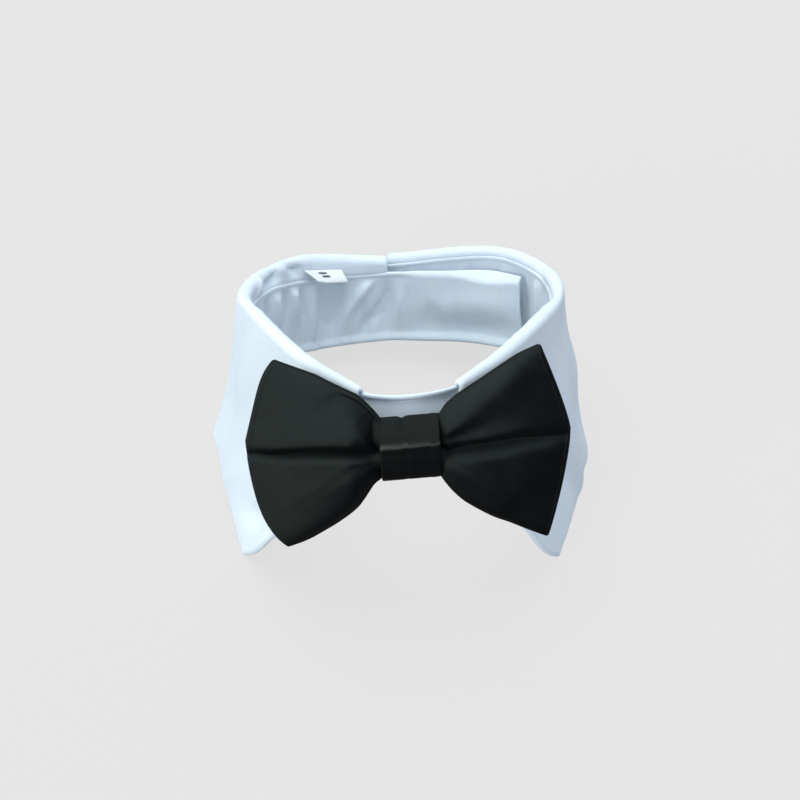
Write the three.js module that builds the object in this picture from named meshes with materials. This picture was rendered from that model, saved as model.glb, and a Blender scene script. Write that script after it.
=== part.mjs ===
// A shirt collar for a small pet, with a pre-tied bow tie at its throat.
//
// The collar is a stand band that goes round the neck and two turned-down leaves that are sewn
// along the top of the band, roll over outwards and end in long points at the front. It closes
// at the back of the neck, where a tab of the left half runs inside the right half over a
// hook-and-loop pad. The collar stands on a table on the hems of its leaves. The long points
// carry the front higher than the back, so that the neck ring leans backwards.
//
// Millimetres, +Z up. The bow faces -Y and the closure is at +Y. The origin is on the table, under
// the middle of the whole collar.

import * as THREE from 'three';

// ---------------------------------------------------------------------------------------------
// Driving dimensions
// ---------------------------------------------------------------------------------------------

const SEWING_GAP = 0.3; // between two pieces that meet
const RING_TILT = 24; // degrees that the neck ring leans back

const BAND_WALL = 2.0;
const LEAF_WALL = 1.4;
const PAD_WALL = 2.0;
const LABEL_WALL = 1.0;
const BOW_WALL = 1.4;
const KNOT_WALL = 1.4;

// The ribs of a leaf, from the back of the neck to the leaf's front edge. x, y, z is the crest
// of the roll, roll the radius that the cloth turns over with, seam the depth of the sewn seam
// under the crest, stand the height of the band there, hemX and hemY the place of the hem on
// the table, belly how far the upper part swells, flare how far the hem kicks outwards and sway
// how far the lower part swings forwards.
const RIB = ['x', 'y', 'z', 'roll', 'seam', 'stand', 'hemX', 'hemY', 'belly', 'flare', 'sway'];
const LEFT_RIBS = table(RIB, [
  [-4.6, 58.3, 34.4, 1.9, 3.4, 25.2, -4.6, 57.8, 0.0, 0.0, 0.0], // centre back
  [-30.0, 56.3, 37.4, 2.0, 4.8, 28.0, -32.0, 54.3, 0.0, 0.0, 0.0], // back quarter
  [-43.2, 41.8, 46.0, 2.0, 4.8, 27.0, -51.5, 38.8, 0.0, 1.5, 0.0], // rear corner
  [-47.9, 18.8, 59.6, 1.9, 4.4, 25.0, -60.5, 13.3, 0.0, 2.4, 0.0], // side
  [-41.6, 1.8, 68.2, 1.8, 4.0, 24.0, -58.0, 1.3, 0.0, 1.6, 0.0], // cheek
  [-27.8, -21.2, 75.4, 1.6, 3.2, 22.0, -54.5, -15.7, 0.0, -2.0, 0.0], // beside the bow
  [-12.0, -39.0, 80.3, 1.4, 2.4, 21.0, -48.9, -37.2, 0.0, -4.0, 3.0], // front edge
]);
const RIGHT_RIBS = table(RIB, [
  [-4.0, 62.6, 31.2, 1.9, 3.6, 22.0, -4.0, 61.9, 0.0, 0.0, 0.0], // centre back
  [31.5, 57.5, 39.8, 2.0, 4.2, 27.5, 34.5, 54.8, 0.0, 0.0, 0.0], // back quarter
  [46.6, 42.1, 47.2, 2.0, 4.4, 28.0, 53.0, 37.3, 0.0, 1.5, 0.0], // rear corner
  [48.6, 21.3, 58.3, 1.9, 4.4, 26.0, 60.6, 6.3, 3.0, 1.0, 0.0], // side
  [42.5, 3.3, 68.0, 1.8, 4.0, 24.0, 58.6, -6.2, 0.0, -2.0, 0.0], // cheek
  [29.8, -18.7, 75.0, 1.6, 3.2, 22.0, 55.4, -18.2, 0.0, -2.5, 0.0], // beside the bow
  [15.4, -36.3, 80.3, 1.4, 2.4, 21.0, 50.0, -38.0, 0.0, -4.0, 3.0], // front edge
]);

// Top edge and height of the band where it has no leaf: over the throat, and along the tab.
const STRAP = ['x', 'y', 'z', 'stand'];
const THROAT = table(STRAP, [[1.5, -41.7, 80.0, 20.5]]);
const TAB = table(STRAP, [
  [38.2, 43.5, 39.4, 24.5], // free end of the tab
  [22.0, 50.5, 35.2, 25.0],
  [8.0, 53.5, 32.8, 25.0],
]);
const PAD = table(STRAP, [
  [2.0, 54.8, 27.0, 15.0], // hook-and-loop pad, between the tab and the right half
  [13.0, 53.2, 28.4, 15.0],
  [24.0, 50.7, 30.6, 15.0],
]);

// The size label, a folded tab sewn into the seam: where it starts and ends along the left
// leaf's crest, how far it reaches in, how far its free end sinks and how far it leans back.
const LABEL = { first: 15.2, last: 29.2, reach: 5.0, sink: 1.4, lean: 3.0, above: 0.1 };

// The bow, in its own plane: x to the right, z up and -y out to the front, from the knot's
// middle. It leans back and its right side is a little high; its wings sweep back round the
// neck by SWEEP at WING_SPAN from the knot.
const BOW_PLACE = { x: 3.0, y: -53.4, z: 72.2, lean: 25, turn: 2.7 };
const WING_SPAN = 45;
const SWEEP = 10.5;

// A wing at some distances out from the knot: its upper and lower edge, how far the front and
// back layers stand off the middle, how far the two lobes of the front crown out and how deep
// the pleat between them is.
const WING = ['out', 'top', 'bottom', 'front', 'back', 'crown', 'pleat'];
const LEFT_WING = table(WING, [
  [0.0, 7.1, -5.7, 1.6, -1.6, 0.0, 0.6], // middle of the pinch
  [11.0, 7.1, -5.7, 1.7, -1.7, 0.2, 0.7], // just inside the knot
  [12.7, 11.6, -9.4, 2.0, -1.7, 1.2, 1.6], // just outside it
  [18.2, 17.3, -15.2, 2.2, -1.8, 3.0, 2.8],
  [26.0, 20.5, -22.0, 2.2, -1.8, 3.6, 3.2],
  [35.0, 23.2, -27.4, 2.0, -1.7, 2.8, 2.4],
  [44.6, 25.2, -31.6, 1.8, -1.4, 1.0, 1.0], // outer end
]);
const RIGHT_WING = table(WING, [
  [0.0, 7.1, -5.7, 1.6, -1.6, 0.0, 0.6],
  [10.5, 7.1, -5.7, 1.7, -1.7, 0.2, 0.7],
  [12.1, 12.0, -9.6, 2.0, -1.7, 1.2, 1.6],
  [18.2, 17.2, -15.5, 2.2, -1.8, 3.0, 2.8],
  [26.0, 20.8, -21.2, 2.2, -1.8, 3.6, 3.2],
  [35.0, 24.4, -26.8, 2.0, -1.7, 2.8, 2.4],
  [42.8, 26.8, -31.6, 1.8, -1.4, 1.0, 1.0],
]);
// How much further a wing's end reaches at its middle than at its upper and lower corner.
const LEFT_TUCK = { top: 8.2, bottom: 6.4 };
const RIGHT_TUCK = { top: 8.2, bottom: 6.2 };
const PLEAT_AT = -0.06; // height of the pleat, as a share of the wing's half height
const PLEAT_WIDTH = 2.6;

// The knot: a strip round the pinch, with a soft ridge across its front.
const KNOT = { width: 16.6, height: 15.6, depth: 11.2, corner: 4.2, ridge: 0.9, lift: 0.8 };

// Mesh steps of each piece.
const LEAF_STEPS = { along: 34, leg: 1, roll: 5, fall: 10 };
const BAND_STEPS = { along: 84, down: 3 };
const PAD_STEPS = { along: 8, down: 2 };
const LABEL_STEPS = { along: 3, in: 4 };
const WING_FRONT = [0, 0.13, 0.246, 0.285, 0.34, 0.43, 0.55, 0.7, 0.85, 1];
const WING_BACK = [0.246, 0.285, 0.4, 0.6, 0.8, 1];
const FOLD_STEPS = 3;
const WING_HEIGHTS = [-1, -0.75, -0.5, -0.3, -0.15, -0.06, 0.03, 0.2, 0.45, 0.72, 1];
const KNOT_STEPS = { across: 4, corner: 4, front: 4 };

// ---------------------------------------------------------------------------------------------
// Tables and tracks
// ---------------------------------------------------------------------------------------------

/** Rows of numbers as objects with named columns. */
function table(columns, rows) {
  return rows.map((row) => Object.fromEntries(columns.map((name, i) => [name, row[i]])));
}

function spot(row) {
  return new THREE.Vector3(row.x, row.y, row.z);
}

/** How far along a table each row is, going by the distance between the rows' x, y, z. */
function distances(rows) {
  const sums = [0];
  for (let i = 1; i < rows.length; i++) {
    sums.push(sums[i - 1] + spot(rows[i]).distanceTo(spot(rows[i - 1])));
  }
  return sums;
}

/** Reads the columns of a table as smooth curves. */
class Track {
  constructor(rows, knots = distances(rows)) {
    this.rows = rows;
    this.knots = knots;
    this.length = knots.at(-1);
  }

  /** The slope of a column at row i, from its neighbours. */
  slope(column, i) {
    const before = Math.max(0, i - 1);
    const after = Math.min(this.rows.length - 1, i + 1);
    const rise = this.rows[after][column] - this.rows[before][column];
    return rise / (this.knots[after] - this.knots[before]);
  }

  read(column, s) {
    let i = 0;
    while (i < this.rows.length - 2 && s > this.knots[i + 1]) i++;
    const span = this.knots[i + 1] - this.knots[i];
    const t = (s - this.knots[i]) / span;
    const [a, b] = [this.rows[i][column], this.rows[i + 1][column]];
    const [m, n] = [this.slope(column, i) * span, this.slope(column, i + 1) * span];
    return a + t * (m + t * (3 * (b - a) - 2 * m - n + t * (2 * (a - b) + m + n)));
  }

  point(s) {
    return new THREE.Vector3(this.read('x', s), this.read('y', s), this.read('z', s));
  }

  tangent(s) {
    const step = 0.01 * this.length;
    const ahead = this.point(Math.min(this.length, s + step));
    return ahead.sub(this.point(Math.max(0, s - step))).normalize();
  }
}

/** count + 1 numbers from first to last, evenly apart. */
function steps(count, first, last) {
  return Array.from({ length: count + 1 }, (_, i) => first + ((last - first) * i) / count);
}

// ---------------------------------------------------------------------------------------------
// Cloth walls
// ---------------------------------------------------------------------------------------------

/** The unit normal of a grid of points at i, j. */
function gridNormal(grid, i, j) {
  const last = grid.length - 1;
  const end = grid[0].length - 1;
  const u = grid[Math.min(last, i + 1)][j].clone().sub(grid[Math.max(0, i - 1)][j]);
  const v = grid[i][Math.min(end, j + 1)].clone().sub(grid[i][Math.max(0, j - 1)]);
  return u.cross(v).normalize();
}

/** A closed geometry whose faces point out, whichever way round its triangles were listed. */
function solid(points, triangles) {
  let volume = 0;
  for (let i = 0; i < triangles.length; i += 3) {
    const [a, b, c] = [0, 1, 2].map((k) => points[triangles[i + k]]);
    volume += a.dot(b.clone().cross(c));
  }
  const geometry = new THREE.BufferGeometry().setFromPoints(points);
  geometry.setIndex(volume > 0 ? triangles : triangles.reverse());
  geometry.computeVertexNormals();
  return geometry;
}

/**
 * A wall of cloth: the grid is its middle surface, and its faces lie half a wall to each side.
 * The last point of each row can stand on the table, which cuts the wall off level there.
 */
function clothWall(grid, wall, onTable = false) {
  const rows = grid.length;
  const columns = grid[0].length;
  const points = [];
  for (const side of [0.5, -0.5]) {
    for (let i = 0; i < rows; i++) {
      for (let j = 0; j < columns; j++) {
        const p = grid[i][j].clone().addScaledVector(gridNormal(grid, i, j), side * wall);
        if (onTable) p.z = j === columns - 1 ? 0 : Math.max(0, p.z);
        points.push(p);
      }
    }
  }
  const at = (side, i, j) => (side * rows + i) * columns + j;
  const triangles = [];
  const quad = (a, b, c, d) => triangles.push(a, b, c, a, c, d);
  const [lastRow, lastColumn] = [rows - 1, columns - 1];
  for (let i = 0; i < lastRow; i++) {
    for (let j = 0; j < lastColumn; j++) {
      quad(at(0, i, j), at(0, i + 1, j), at(0, i + 1, j + 1), at(0, i, j + 1));
      quad(at(1, i, j), at(1, i, j + 1), at(1, i + 1, j + 1), at(1, i + 1, j));
    }
    quad(at(0, i, 0), at(1, i, 0), at(1, i + 1, 0), at(0, i + 1, 0));
    quad(at(0, i, lastColumn), at(0, i + 1, lastColumn), at(1, i + 1, lastColumn), at(1, i, lastColumn));
  }
  for (let j = 0; j < lastColumn; j++) {
    quad(at(0, 0, j), at(0, 0, j + 1), at(1, 0, j + 1), at(1, 0, j));
    quad(at(0, lastRow, j), at(1, lastRow, j), at(1, lastRow, j + 1), at(0, lastRow, j + 1));
  }
  return solid(points, triangles);
}

// ---------------------------------------------------------------------------------------------
// Neck ring: leaves, band, pad and label
// ---------------------------------------------------------------------------------------------

const TILT = THREE.MathUtils.degToRad(RING_TILT);
const RING_AXIS = new THREE.Vector3(0, Math.sin(TILT), Math.cos(TILT));

/** The direction away from the neck, at right angles to the ring's axis. side is -1 or 1. */
function outward(track, s, side) {
  return track.tangent(s).cross(RING_AXIS).multiplyScalar(-side).normalize();
}

/** One rib of a leaf: up from the seam, over the roll and down to the hem. */
function leafRib(track, s, side) {
  const read = (column) => track.read(column, s);
  const crest = track.point(s);
  const out = outward(track, s, side);
  const place = (across, up) =>
    crest.clone().addScaledVector(out, across).addScaledVector(RING_AXIS, up);
  const roll = read('roll');
  const rib = steps(LEAF_STEPS.leg, -read('seam'), -roll).map((up) => place(-roll, up));
  for (const turn of steps(LEAF_STEPS.roll, Math.PI, 0).slice(1)) {
    rib.push(place(roll * Math.cos(turn), roll * (Math.sin(turn) - 1)));
  }
  const start = rib.at(-1);
  const hem = new THREE.Vector3(read('hemX'), read('hemY'), 0);
  const third = start.distanceTo(hem) / 3;
  const hung = start
    .clone()
    .addScaledVector(RING_AXIS, -third)
    .addScaledVector(out, read('belly'));
  const kick = hem
    .clone()
    .lerp(start, 1 / 3)
    .addScaledVector(out, -read('flare'))
    .addScaledVector(track.tangent(s), read('sway'));
  const fall = new THREE.CubicBezierCurve3(start, hung, kick, hem);
  rib.push(...fall.getPoints(LEAF_STEPS.fall).slice(1));
  return rib;
}

function leaf(ribs, side) {
  const track = new Track(ribs);
  const grid = steps(LEAF_STEPS.along, 0, track.length).map((s) => leafRib(track, s, side));
  return clothWall(grid, LEAF_WALL, true);
}

/** The top edge of the band under each rib of a leaf, as rows of the band's own table. */
function bandRows(ribs, side) {
  const track = new Track(ribs);
  return ribs.map((rib, i) => {
    const top = spot(rib)
      .addScaledVector(outward(track, track.knots[i], side), -rib.roll)
      .addScaledVector(RING_AXIS, -rib.seam - SEWING_GAP);
    return { x: top.x, y: top.y, z: top.z, stand: rib.stand };
  });
}

/** A strip that hangs from its table's points along the ring's axis. */
function hangingStrip(rows, counts, wall) {
  const track = new Track(rows);
  const grid = steps(counts.along, 0, track.length).map((s) =>
    steps(counts.down, 0, -track.read('stand', s)).map((down) =>
      track.point(s).addScaledVector(RING_AXIS, down),
    ),
  );
  return clothWall(grid, wall);
}

function neckBand() {
  const right = bandRows(RIGHT_RIBS, 1).reverse();
  return hangingStrip([...TAB, ...bandRows(LEFT_RIBS, -1), ...THROAT, ...right], BAND_STEPS, BAND_WALL);
}

/** The label starts clear of the band's inner face and reaches in towards the neck. */
function sizeLabel() {
  const track = new Track(LEFT_RIBS);
  const grid = steps(LABEL_STEPS.along, LABEL.first, LABEL.last).map((s) => {
    const out = outward(track, s, -1);
    const root = track
      .point(s)
      .addScaledVector(out, -track.read('roll', s) - BAND_WALL / 2 - SEWING_GAP)
      .addScaledVector(RING_AXIS, -track.read('seam', s) + LABEL.above);
    return steps(LABEL_STEPS.in, 0, 1).map((share) =>
      root
        .clone()
        .addScaledVector(out, -LABEL.reach * share)
        .addScaledVector(track.tangent(s), -LABEL.lean * share)
        .setZ(root.z - LABEL.sink * share * share),
    );
  });
  return clothWall(grid, LABEL_WALL);
}

// ---------------------------------------------------------------------------------------------
// Bow
// ---------------------------------------------------------------------------------------------

/** A point of the bow's own plane, carried back with the sweep of the wings. */
function swept(x, off, z) {
  return new THREE.Vector3(x, -off + SWEEP * (x / WING_SPAN) ** 2, z);
}

/** How far a wing reaches at a height given as a share of its half height. */
function reach(wing, height) {
  const tuck = height > 0 ? wing.tuck.top : wing.tuck.bottom;
  return wing.length - tuck * Math.abs(height) ** 1.6;
}

/** The distance of the bow's front or back layer from its middle, at a height. */
function standOff(wing, out, height, layer) {
  const read = (column) => wing.read(column, out);
  if (layer === 'back') return read('back');
  const span = height > 0 ? read('top') : -read('bottom');
  const lobes = Math.sin(Math.PI * Math.min(1, Math.abs(height - PLEAT_AT)));
  const away = ((height - PLEAT_AT) * span) / PLEAT_WIDTH;
  return read('front') + read('crown') * lobes - read('pleat') * Math.exp(-away * away);
}

/** One column of the strip: the points over its height, at a share of the wing's reach. */
function wingColumn(wing, side, share, layer) {
  return WING_HEIGHTS.map((height) => {
    const out = share * wing.length;
    const z = height > 0 ? height * wing.read('top', out) : -height * wing.read('bottom', out);
    return swept(side * share * reach(wing, height), standOff(wing, out, height, layer), z);
  });
}

/** The columns round the fold at a wing's end, from its back layer to its front one. */
function foldColumns(wing, side) {
  const [back, front] = ['back', 'front'].map((layer) => wingColumn(wing, side, 1, layer));
  return steps(FOLD_STEPS + 1, 0, Math.PI).slice(1, -1).map((turn) =>
    back.map((low, j) => {
      const middle = low.clone().lerp(front[j], 0.5);
      const half = front[j].clone().sub(middle);
      const bulge = side * half.length() * Math.sin(turn);
      return middle.addScaledVector(half, -Math.cos(turn)).add(new THREE.Vector3(bulge, 0, 0));
    }),
  );
}

/** One wing's columns, from the butt at the back of the pinch round to the front of it. */
function wingColumns(rows, tuck, side) {
  const wing = new Track(rows, rows.map((row) => row.out));
  wing.tuck = tuck;
  const butt = SEWING_GAP / wing.length;
  return [
    ...[butt, ...WING_BACK].map((share) => wingColumn(wing, side, share, 'back')),
    ...foldColumns(wing, side),
    ...WING_FRONT.toReversed().map((share) => wingColumn(wing, side, share, 'front')),
  ];
}

/** The bow is one strip: round the left wing, across the front and round the right wing. */
function bowLoops() {
  const left = wingColumns(LEFT_WING, LEFT_TUCK, -1);
  const right = wingColumns(RIGHT_WING, RIGHT_TUCK, 1).reverse().slice(1);
  return clothWall([...left, ...right], BOW_WALL);
}

/** The outline that the knot's strip follows, as pairs of stand-off and height. */
function knotOutline() {
  const [deep, high] = [KNOT.depth / 2 - KNOT.corner, KNOT.height / 2 - KNOT.corner];
  const corner = (y, z, first) =>
    steps(KNOT_STEPS.corner, first, first + Math.PI / 2).map((turn) => [
      y + KNOT.corner * Math.cos(turn),
      z + KNOT.corner * Math.sin(turn),
    ]);
  const front = steps(KNOT_STEPS.front, -high, high).slice(1, -1).map((z) => [
    deep + KNOT.corner + KNOT.ridge * (1 - Math.abs(z) / high),
    z,
  ]);
  return [
    [-deep - KNOT.corner, -SEWING_GAP],
    ...corner(-deep, -high, Math.PI),
    ...corner(deep, -high, -Math.PI / 2),
    ...front,
    ...corner(deep, high, 0),
    ...corner(-deep, high, Math.PI / 2),
    [-deep - KNOT.corner, SEWING_GAP],
  ];
}

function bowKnot() {
  const outline = knotOutline();
  const grid = steps(KNOT_STEPS.across, -KNOT.width / 2, KNOT.width / 2).map((x) =>
    outline.map(([off, z]) => new THREE.Vector3(x, -off, z + KNOT.lift)),
  );
  return clothWall(grid, KNOT_WALL);
}

// ---------------------------------------------------------------------------------------------
// The object
// ---------------------------------------------------------------------------------------------

const COTTON = { color: 0xe6eef4, roughness: 0.9, metalness: 0 };
const BLACK_CLOTH = { color: 0x1c201f, roughness: 0.6, metalness: 0 };
const HOOK_AND_LOOP = { color: 0xdfe3e6, roughness: 1, metalness: 0 };
const TAPE = { color: 0xf4f6f7, roughness: 0.7, metalness: 0 };

function piece(name, geometry, finish) {
  const mesh = new THREE.Mesh(geometry, new THREE.MeshStandardMaterial(finish));
  mesh.name = name;
  return mesh;
}

const bow = new THREE.Group();
bow.add(piece('bow_loops', bowLoops(), BLACK_CLOTH), piece('bow_knot', bowKnot(), BLACK_CLOTH));
bow.position.set(BOW_PLACE.x, BOW_PLACE.y, BOW_PLACE.z);
bow.rotation.set(
  THREE.MathUtils.degToRad(-BOW_PLACE.lean),
  THREE.MathUtils.degToRad(-BOW_PLACE.turn),
  0,
);

const collar = new THREE.Group();
collar.add(
  piece('neck_band', neckBand(), COTTON),
  piece('leaf_left', leaf(LEFT_RIBS, -1), COTTON),
  piece('leaf_right', leaf(RIGHT_RIBS, 1), COTTON),
  piece('fastener_pad', hangingStrip(PAD, PAD_STEPS, PAD_WALL), HOOK_AND_LOOP),
  piece('size_label', sizeLabel(), TAPE),
  bow,
);

export default collar;
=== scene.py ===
# %% [markdown]
# # A shirt collar with a bow tie, for a small pet
# The real thing is sewn from flat cloth: a stand band that goes round the neck, two leaves that
# turn down over it and end in long points, and a bow made from one folded strip with a short
# strip wrapped round its pinch. The packed model holds each of these pieces as a plain wall at
# its real size. Here each wall is made again as cloth, in the same place, with folds, rounded
# edges, stitches and a weave. This cell loads the packed model and keeps its box, so that the
# size of the finished cloth can be compared with it at the end.

# %% Load the packed model
import math

import bpy
import numpy as np
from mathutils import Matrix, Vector


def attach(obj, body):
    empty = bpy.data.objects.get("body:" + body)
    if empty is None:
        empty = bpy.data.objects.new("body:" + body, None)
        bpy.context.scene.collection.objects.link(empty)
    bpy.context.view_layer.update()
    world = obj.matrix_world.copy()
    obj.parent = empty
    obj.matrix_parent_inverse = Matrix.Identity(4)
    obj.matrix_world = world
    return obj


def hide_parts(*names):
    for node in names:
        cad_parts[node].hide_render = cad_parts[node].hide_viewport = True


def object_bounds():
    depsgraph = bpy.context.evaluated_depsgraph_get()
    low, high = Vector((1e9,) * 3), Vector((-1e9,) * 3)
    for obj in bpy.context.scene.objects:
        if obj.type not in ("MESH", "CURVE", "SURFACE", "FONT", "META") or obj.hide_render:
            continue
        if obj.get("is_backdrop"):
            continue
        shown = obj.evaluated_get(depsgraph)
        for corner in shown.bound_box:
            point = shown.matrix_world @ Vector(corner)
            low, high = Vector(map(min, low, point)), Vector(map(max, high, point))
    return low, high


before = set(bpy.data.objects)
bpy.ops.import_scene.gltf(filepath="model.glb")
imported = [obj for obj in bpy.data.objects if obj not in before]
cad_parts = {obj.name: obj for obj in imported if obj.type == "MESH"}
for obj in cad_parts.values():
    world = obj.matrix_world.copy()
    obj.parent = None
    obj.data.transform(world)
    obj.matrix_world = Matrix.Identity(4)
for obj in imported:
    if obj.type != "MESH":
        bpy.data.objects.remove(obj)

MM = 0.001  # the tables below are in millimetres, and Blender works in metres
cad_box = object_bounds()
print("nodes:", sorted(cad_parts))
print("model box, mm:", [round(side / MM, 1) for side in cad_box[1] - cad_box[0]])

# %% [markdown]
# ## The camera
# The collar is looked down on from in front, halfway between level and overhead, so that both
# the bow and the inside of the back of the neck show. A long lens from 60 cm away keeps the far
# side of the ring nearly as large as the near side, which is how small goods are usually shown.
# The camera comes first because every later choice is judged through it.

# %% Camera
VIEW_DISTANCE = 0.600
VIEW_ELEVATION = math.radians(50)
VIEW_TARGET = Vector((0, 0.0003, 0.030))
LENS, SENSOR = 85.5, 36.0

camera_data = bpy.data.cameras.new("camera")
camera_data.sensor_width = SENSOR
camera_data.lens = LENS
camera = bpy.data.objects.new("camera", camera_data)
bpy.context.scene.collection.objects.link(camera)
towards_camera = Vector((0, -math.cos(VIEW_ELEVATION), math.sin(VIEW_ELEVATION)))
camera.location = VIEW_TARGET + VIEW_DISTANCE * towards_camera
camera.rotation_euler = towards_camera.to_track_quat("Z", "Y").to_euler()
bpy.context.scene.camera = camera
print("camera at, mm:", [round(c / MM) for c in camera.location])

# %% [markdown]
# ## Floor and light
# The collar stands on a plain pale floor. A wide light overhead catches the tops of the folds, a
# low one on the left gives the bright left leaf and the shaded right one, and an even, slightly
# blue sky fills the inside of the ring. The lights are wide because small ones would draw hard
# shadows that thin cloth in a white tent never shows. The floor glows, so that it stays pale right
# up to the cloth, but it glows less towards the cloth than towards the camera: a floor as bright
# as it looks would light the collar from below and flatten its folds. Its own colour is dark, so
# that the lamps hardly change it. The render keeps plain display colours, so that white cotton
# stays white instead of being rolled off to grey.

# %% Floor
bpy.context.scene.view_settings.view_transform = "Standard"


def new_material(name):
    """A node material, and the Principled shader that it starts with."""
    material = bpy.data.materials.new(name)
    material.use_nodes = True
    return material, material.node_tree.nodes["Principled BSDF"]


FLOOR_GLOW = {"seen": 0.675, "on_cloth": 0.235}
FLOOR_COLOUR = (0.070, 0.0655, 0.061, 1)
FLOOR_REACH = 6.0


def pale_floor():
    mesh = bpy.data.meshes.new("floor")
    signs = [(-1, -1), (1, -1), (1, 1), (-1, 1)]
    corners = [(x * FLOOR_REACH, y * FLOOR_REACH, 0) for x, y in signs]
    mesh.from_pydata(corners, [], [(0, 1, 2, 3)])
    floor = bpy.data.objects.new("floor", mesh)
    bpy.context.scene.collection.objects.link(floor)
    material, shader = new_material("floor_acrylic")
    shader.inputs["Base Color"].default_value = FLOOR_COLOUR
    shader.inputs["Roughness"].default_value = 0.9
    shader.inputs["Emission Color"].default_value = (1, 1, 1, 1)
    tree = material.node_tree
    ray = tree.nodes.new("ShaderNodeLightPath")
    glow = tree.nodes.new("ShaderNodeMapRange")
    glow.inputs["To Min"].default_value = FLOOR_GLOW["on_cloth"]
    glow.inputs["To Max"].default_value = FLOOR_GLOW["seen"]
    tree.links.new(ray.outputs["Is Camera Ray"], glow.inputs["Value"])
    tree.links.new(glow.outputs[0], shader.inputs["Emission Strength"])
    mesh.materials.append(material)
    floor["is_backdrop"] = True
    print("floor:", 2 * FLOOR_REACH, "m across, glowing", FLOOR_GLOW["seen"])


pale_floor()

# %% Lamps and sky
LAMP_COLOUR = (1.0, 1.03, 0.93)
SKY_COLOUR, SKY_STRENGTH = (0.88, 0.97, 1.13, 1), 0.71


def soft_sun(name, towards, strength, angle):
    """A lamp without an edge, far away in the given direction, as wide as angle in degrees."""
    data = bpy.data.lights.new(name, "SUN")
    data.energy = strength
    data.color = LAMP_COLOUR
    data.angle = math.radians(angle)
    lamp = bpy.data.objects.new(name, data)
    lamp.rotation_euler = Vector(towards).to_track_quat("Z", "Y").to_euler()
    bpy.context.scene.collection.objects.link(lamp)


soft_sun("overhead", (-0.15, 0.25, 0.95), 2.00, 50)
soft_sun("front_left", (-0.68, -0.68, 0.25), 1.15, 30)
sky = bpy.data.worlds.new("sky")
sky.use_nodes = True
sky.node_tree.nodes["Background"].inputs["Color"].default_value = SKY_COLOUR
sky.node_tree.nodes["Background"].inputs["Strength"].default_value = SKY_STRENGTH
bpy.context.scene.world = sky

# %% [markdown]
# ## Short tables, read as smooth curves
# A pattern cutter writes a collar down as a few measured stations and draws a fair curve through
# them. The same is done here: a table has one row for each station and one named column for each
# measure, and a Track reads any column as a smooth curve of the distance along the rows. The
# curve is a cubic with its slope at each row taken from the rows beside it, so it passes through
# every measure and never needs handles.

# %% Tables and tracks
def table(columns, rows):
    """Rows of numbers as a dict of named columns."""
    return dict(zip(columns.split(), np.array(rows, float).T))


class Track:
    """Reads the columns of a table as smooth curves."""

    def __init__(self, rows, knots=None):
        self.rows = rows
        if knots is None:
            spots = np.stack([rows["x"], rows["y"], rows["z"]], 1)
            gaps = np.linalg.norm(np.diff(spots, axis=0), axis=1)
            knots = np.concatenate([[0], np.cumsum(gaps)])
        self.knots = knots
        self.length = knots[-1]

    def read(self, column, s):
        """A column's value at s: a cubic between the rows to each side of it."""
        values, knots = self.rows[column], self.knots
        last = len(knots) - 1
        before = np.maximum(np.arange(last + 1) - 1, 0)
        after = np.minimum(np.arange(last + 1) + 1, last)
        slope = (values[after] - values[before]) / (knots[after] - knots[before])
        i = np.clip(np.searchsorted(knots, s) - 1, 0, last - 1)
        span = knots[i + 1] - knots[i]
        t = (s - knots[i]) / span
        a, b, m, n = values[i], values[i + 1], slope[i] * span, slope[i + 1] * span
        return a + t * (m + t * (3 * (b - a) - 2 * m - n + t * (2 * (a - b) + m + n)))

    def point(self, s):
        return np.stack([self.read(axis, s) for axis in "xyz"], -1)

    def tangent(self, s):
        near = 0.01 * self.length
        ahead, behind = np.minimum(s + near, self.length), np.maximum(s - near, 0)
        return unit(self.point(ahead) - self.point(behind))


def unit(vectors):
    return vectors / np.linalg.norm(vectors, axis=-1, keepdims=True)


bend = Track(table("x y z", [[0, 0, 0], [30, 0, 0], [30, 40, 0]]))
print("15 mm along, a track round a corner is at", bend.point(15.0).round(1))

# %% [markdown]
# ## Cloth with rounded edges
# A turned and pressed edge is a fold, so it is round, and a flat-cut rim would look like card.
# Each piece starts as a grid of points through the middle of the cloth. Its two faces lie half a
# thickness to each side, and within that distance of an edge the thickness falls away as a
# half circle does, until both faces share the same points and the piece is closed. A subdivision
# surface could round the edges too, but it would also pull in the outline that was measured.

# %% Grids and rims
RIM_SHARES = np.array([0, 0.05, 0.18, 0.42, 1.0])


def with_rims(count, first, last, rim):
    """Numbers from first to last, evenly apart but closer together within rim of each end."""
    edge = rim * RIM_SHARES
    middle = np.linspace(first + rim, last - rim, count)[1:-1]
    return np.concatenate([first + edge, middle, last - edge[::-1]])


def lengths(grid, axis):
    """How far along its row or column each point of a grid is."""
    gaps = np.linalg.norm(np.diff(grid, axis=axis), axis=2)
    start = np.zeros_like(np.take(gaps, [0], axis))
    return np.concatenate([start, np.cumsum(gaps, axis)], axis)


def normals(grid):
    """Which way each point of a grid faces."""
    return unit(np.cross(np.gradient(grid, axis=0), np.gradient(grid, axis=1)))


def half_thickness(grid, wall):
    """Half the wall, falling to nothing at the four edges as a half circle does."""
    half = np.full(grid.shape[:2], wall / 2)
    for axis in (0, 1):
        along = lengths(grid, axis)
        near = np.minimum(along, along.max(axis, keepdims=True) - along)
        half = half * np.sqrt(1 - (1 - np.clip(near / (wall / 2), 0, 1)) ** 2)
    return half[..., None]


print("places across 10 mm of cloth:", with_rims(4, 0, 10, 0.7).round(2))

# %% From a grid to a piece of cloth
MOST_SUNK = 1.6  # a face may sink by this many half thicknesses


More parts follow.
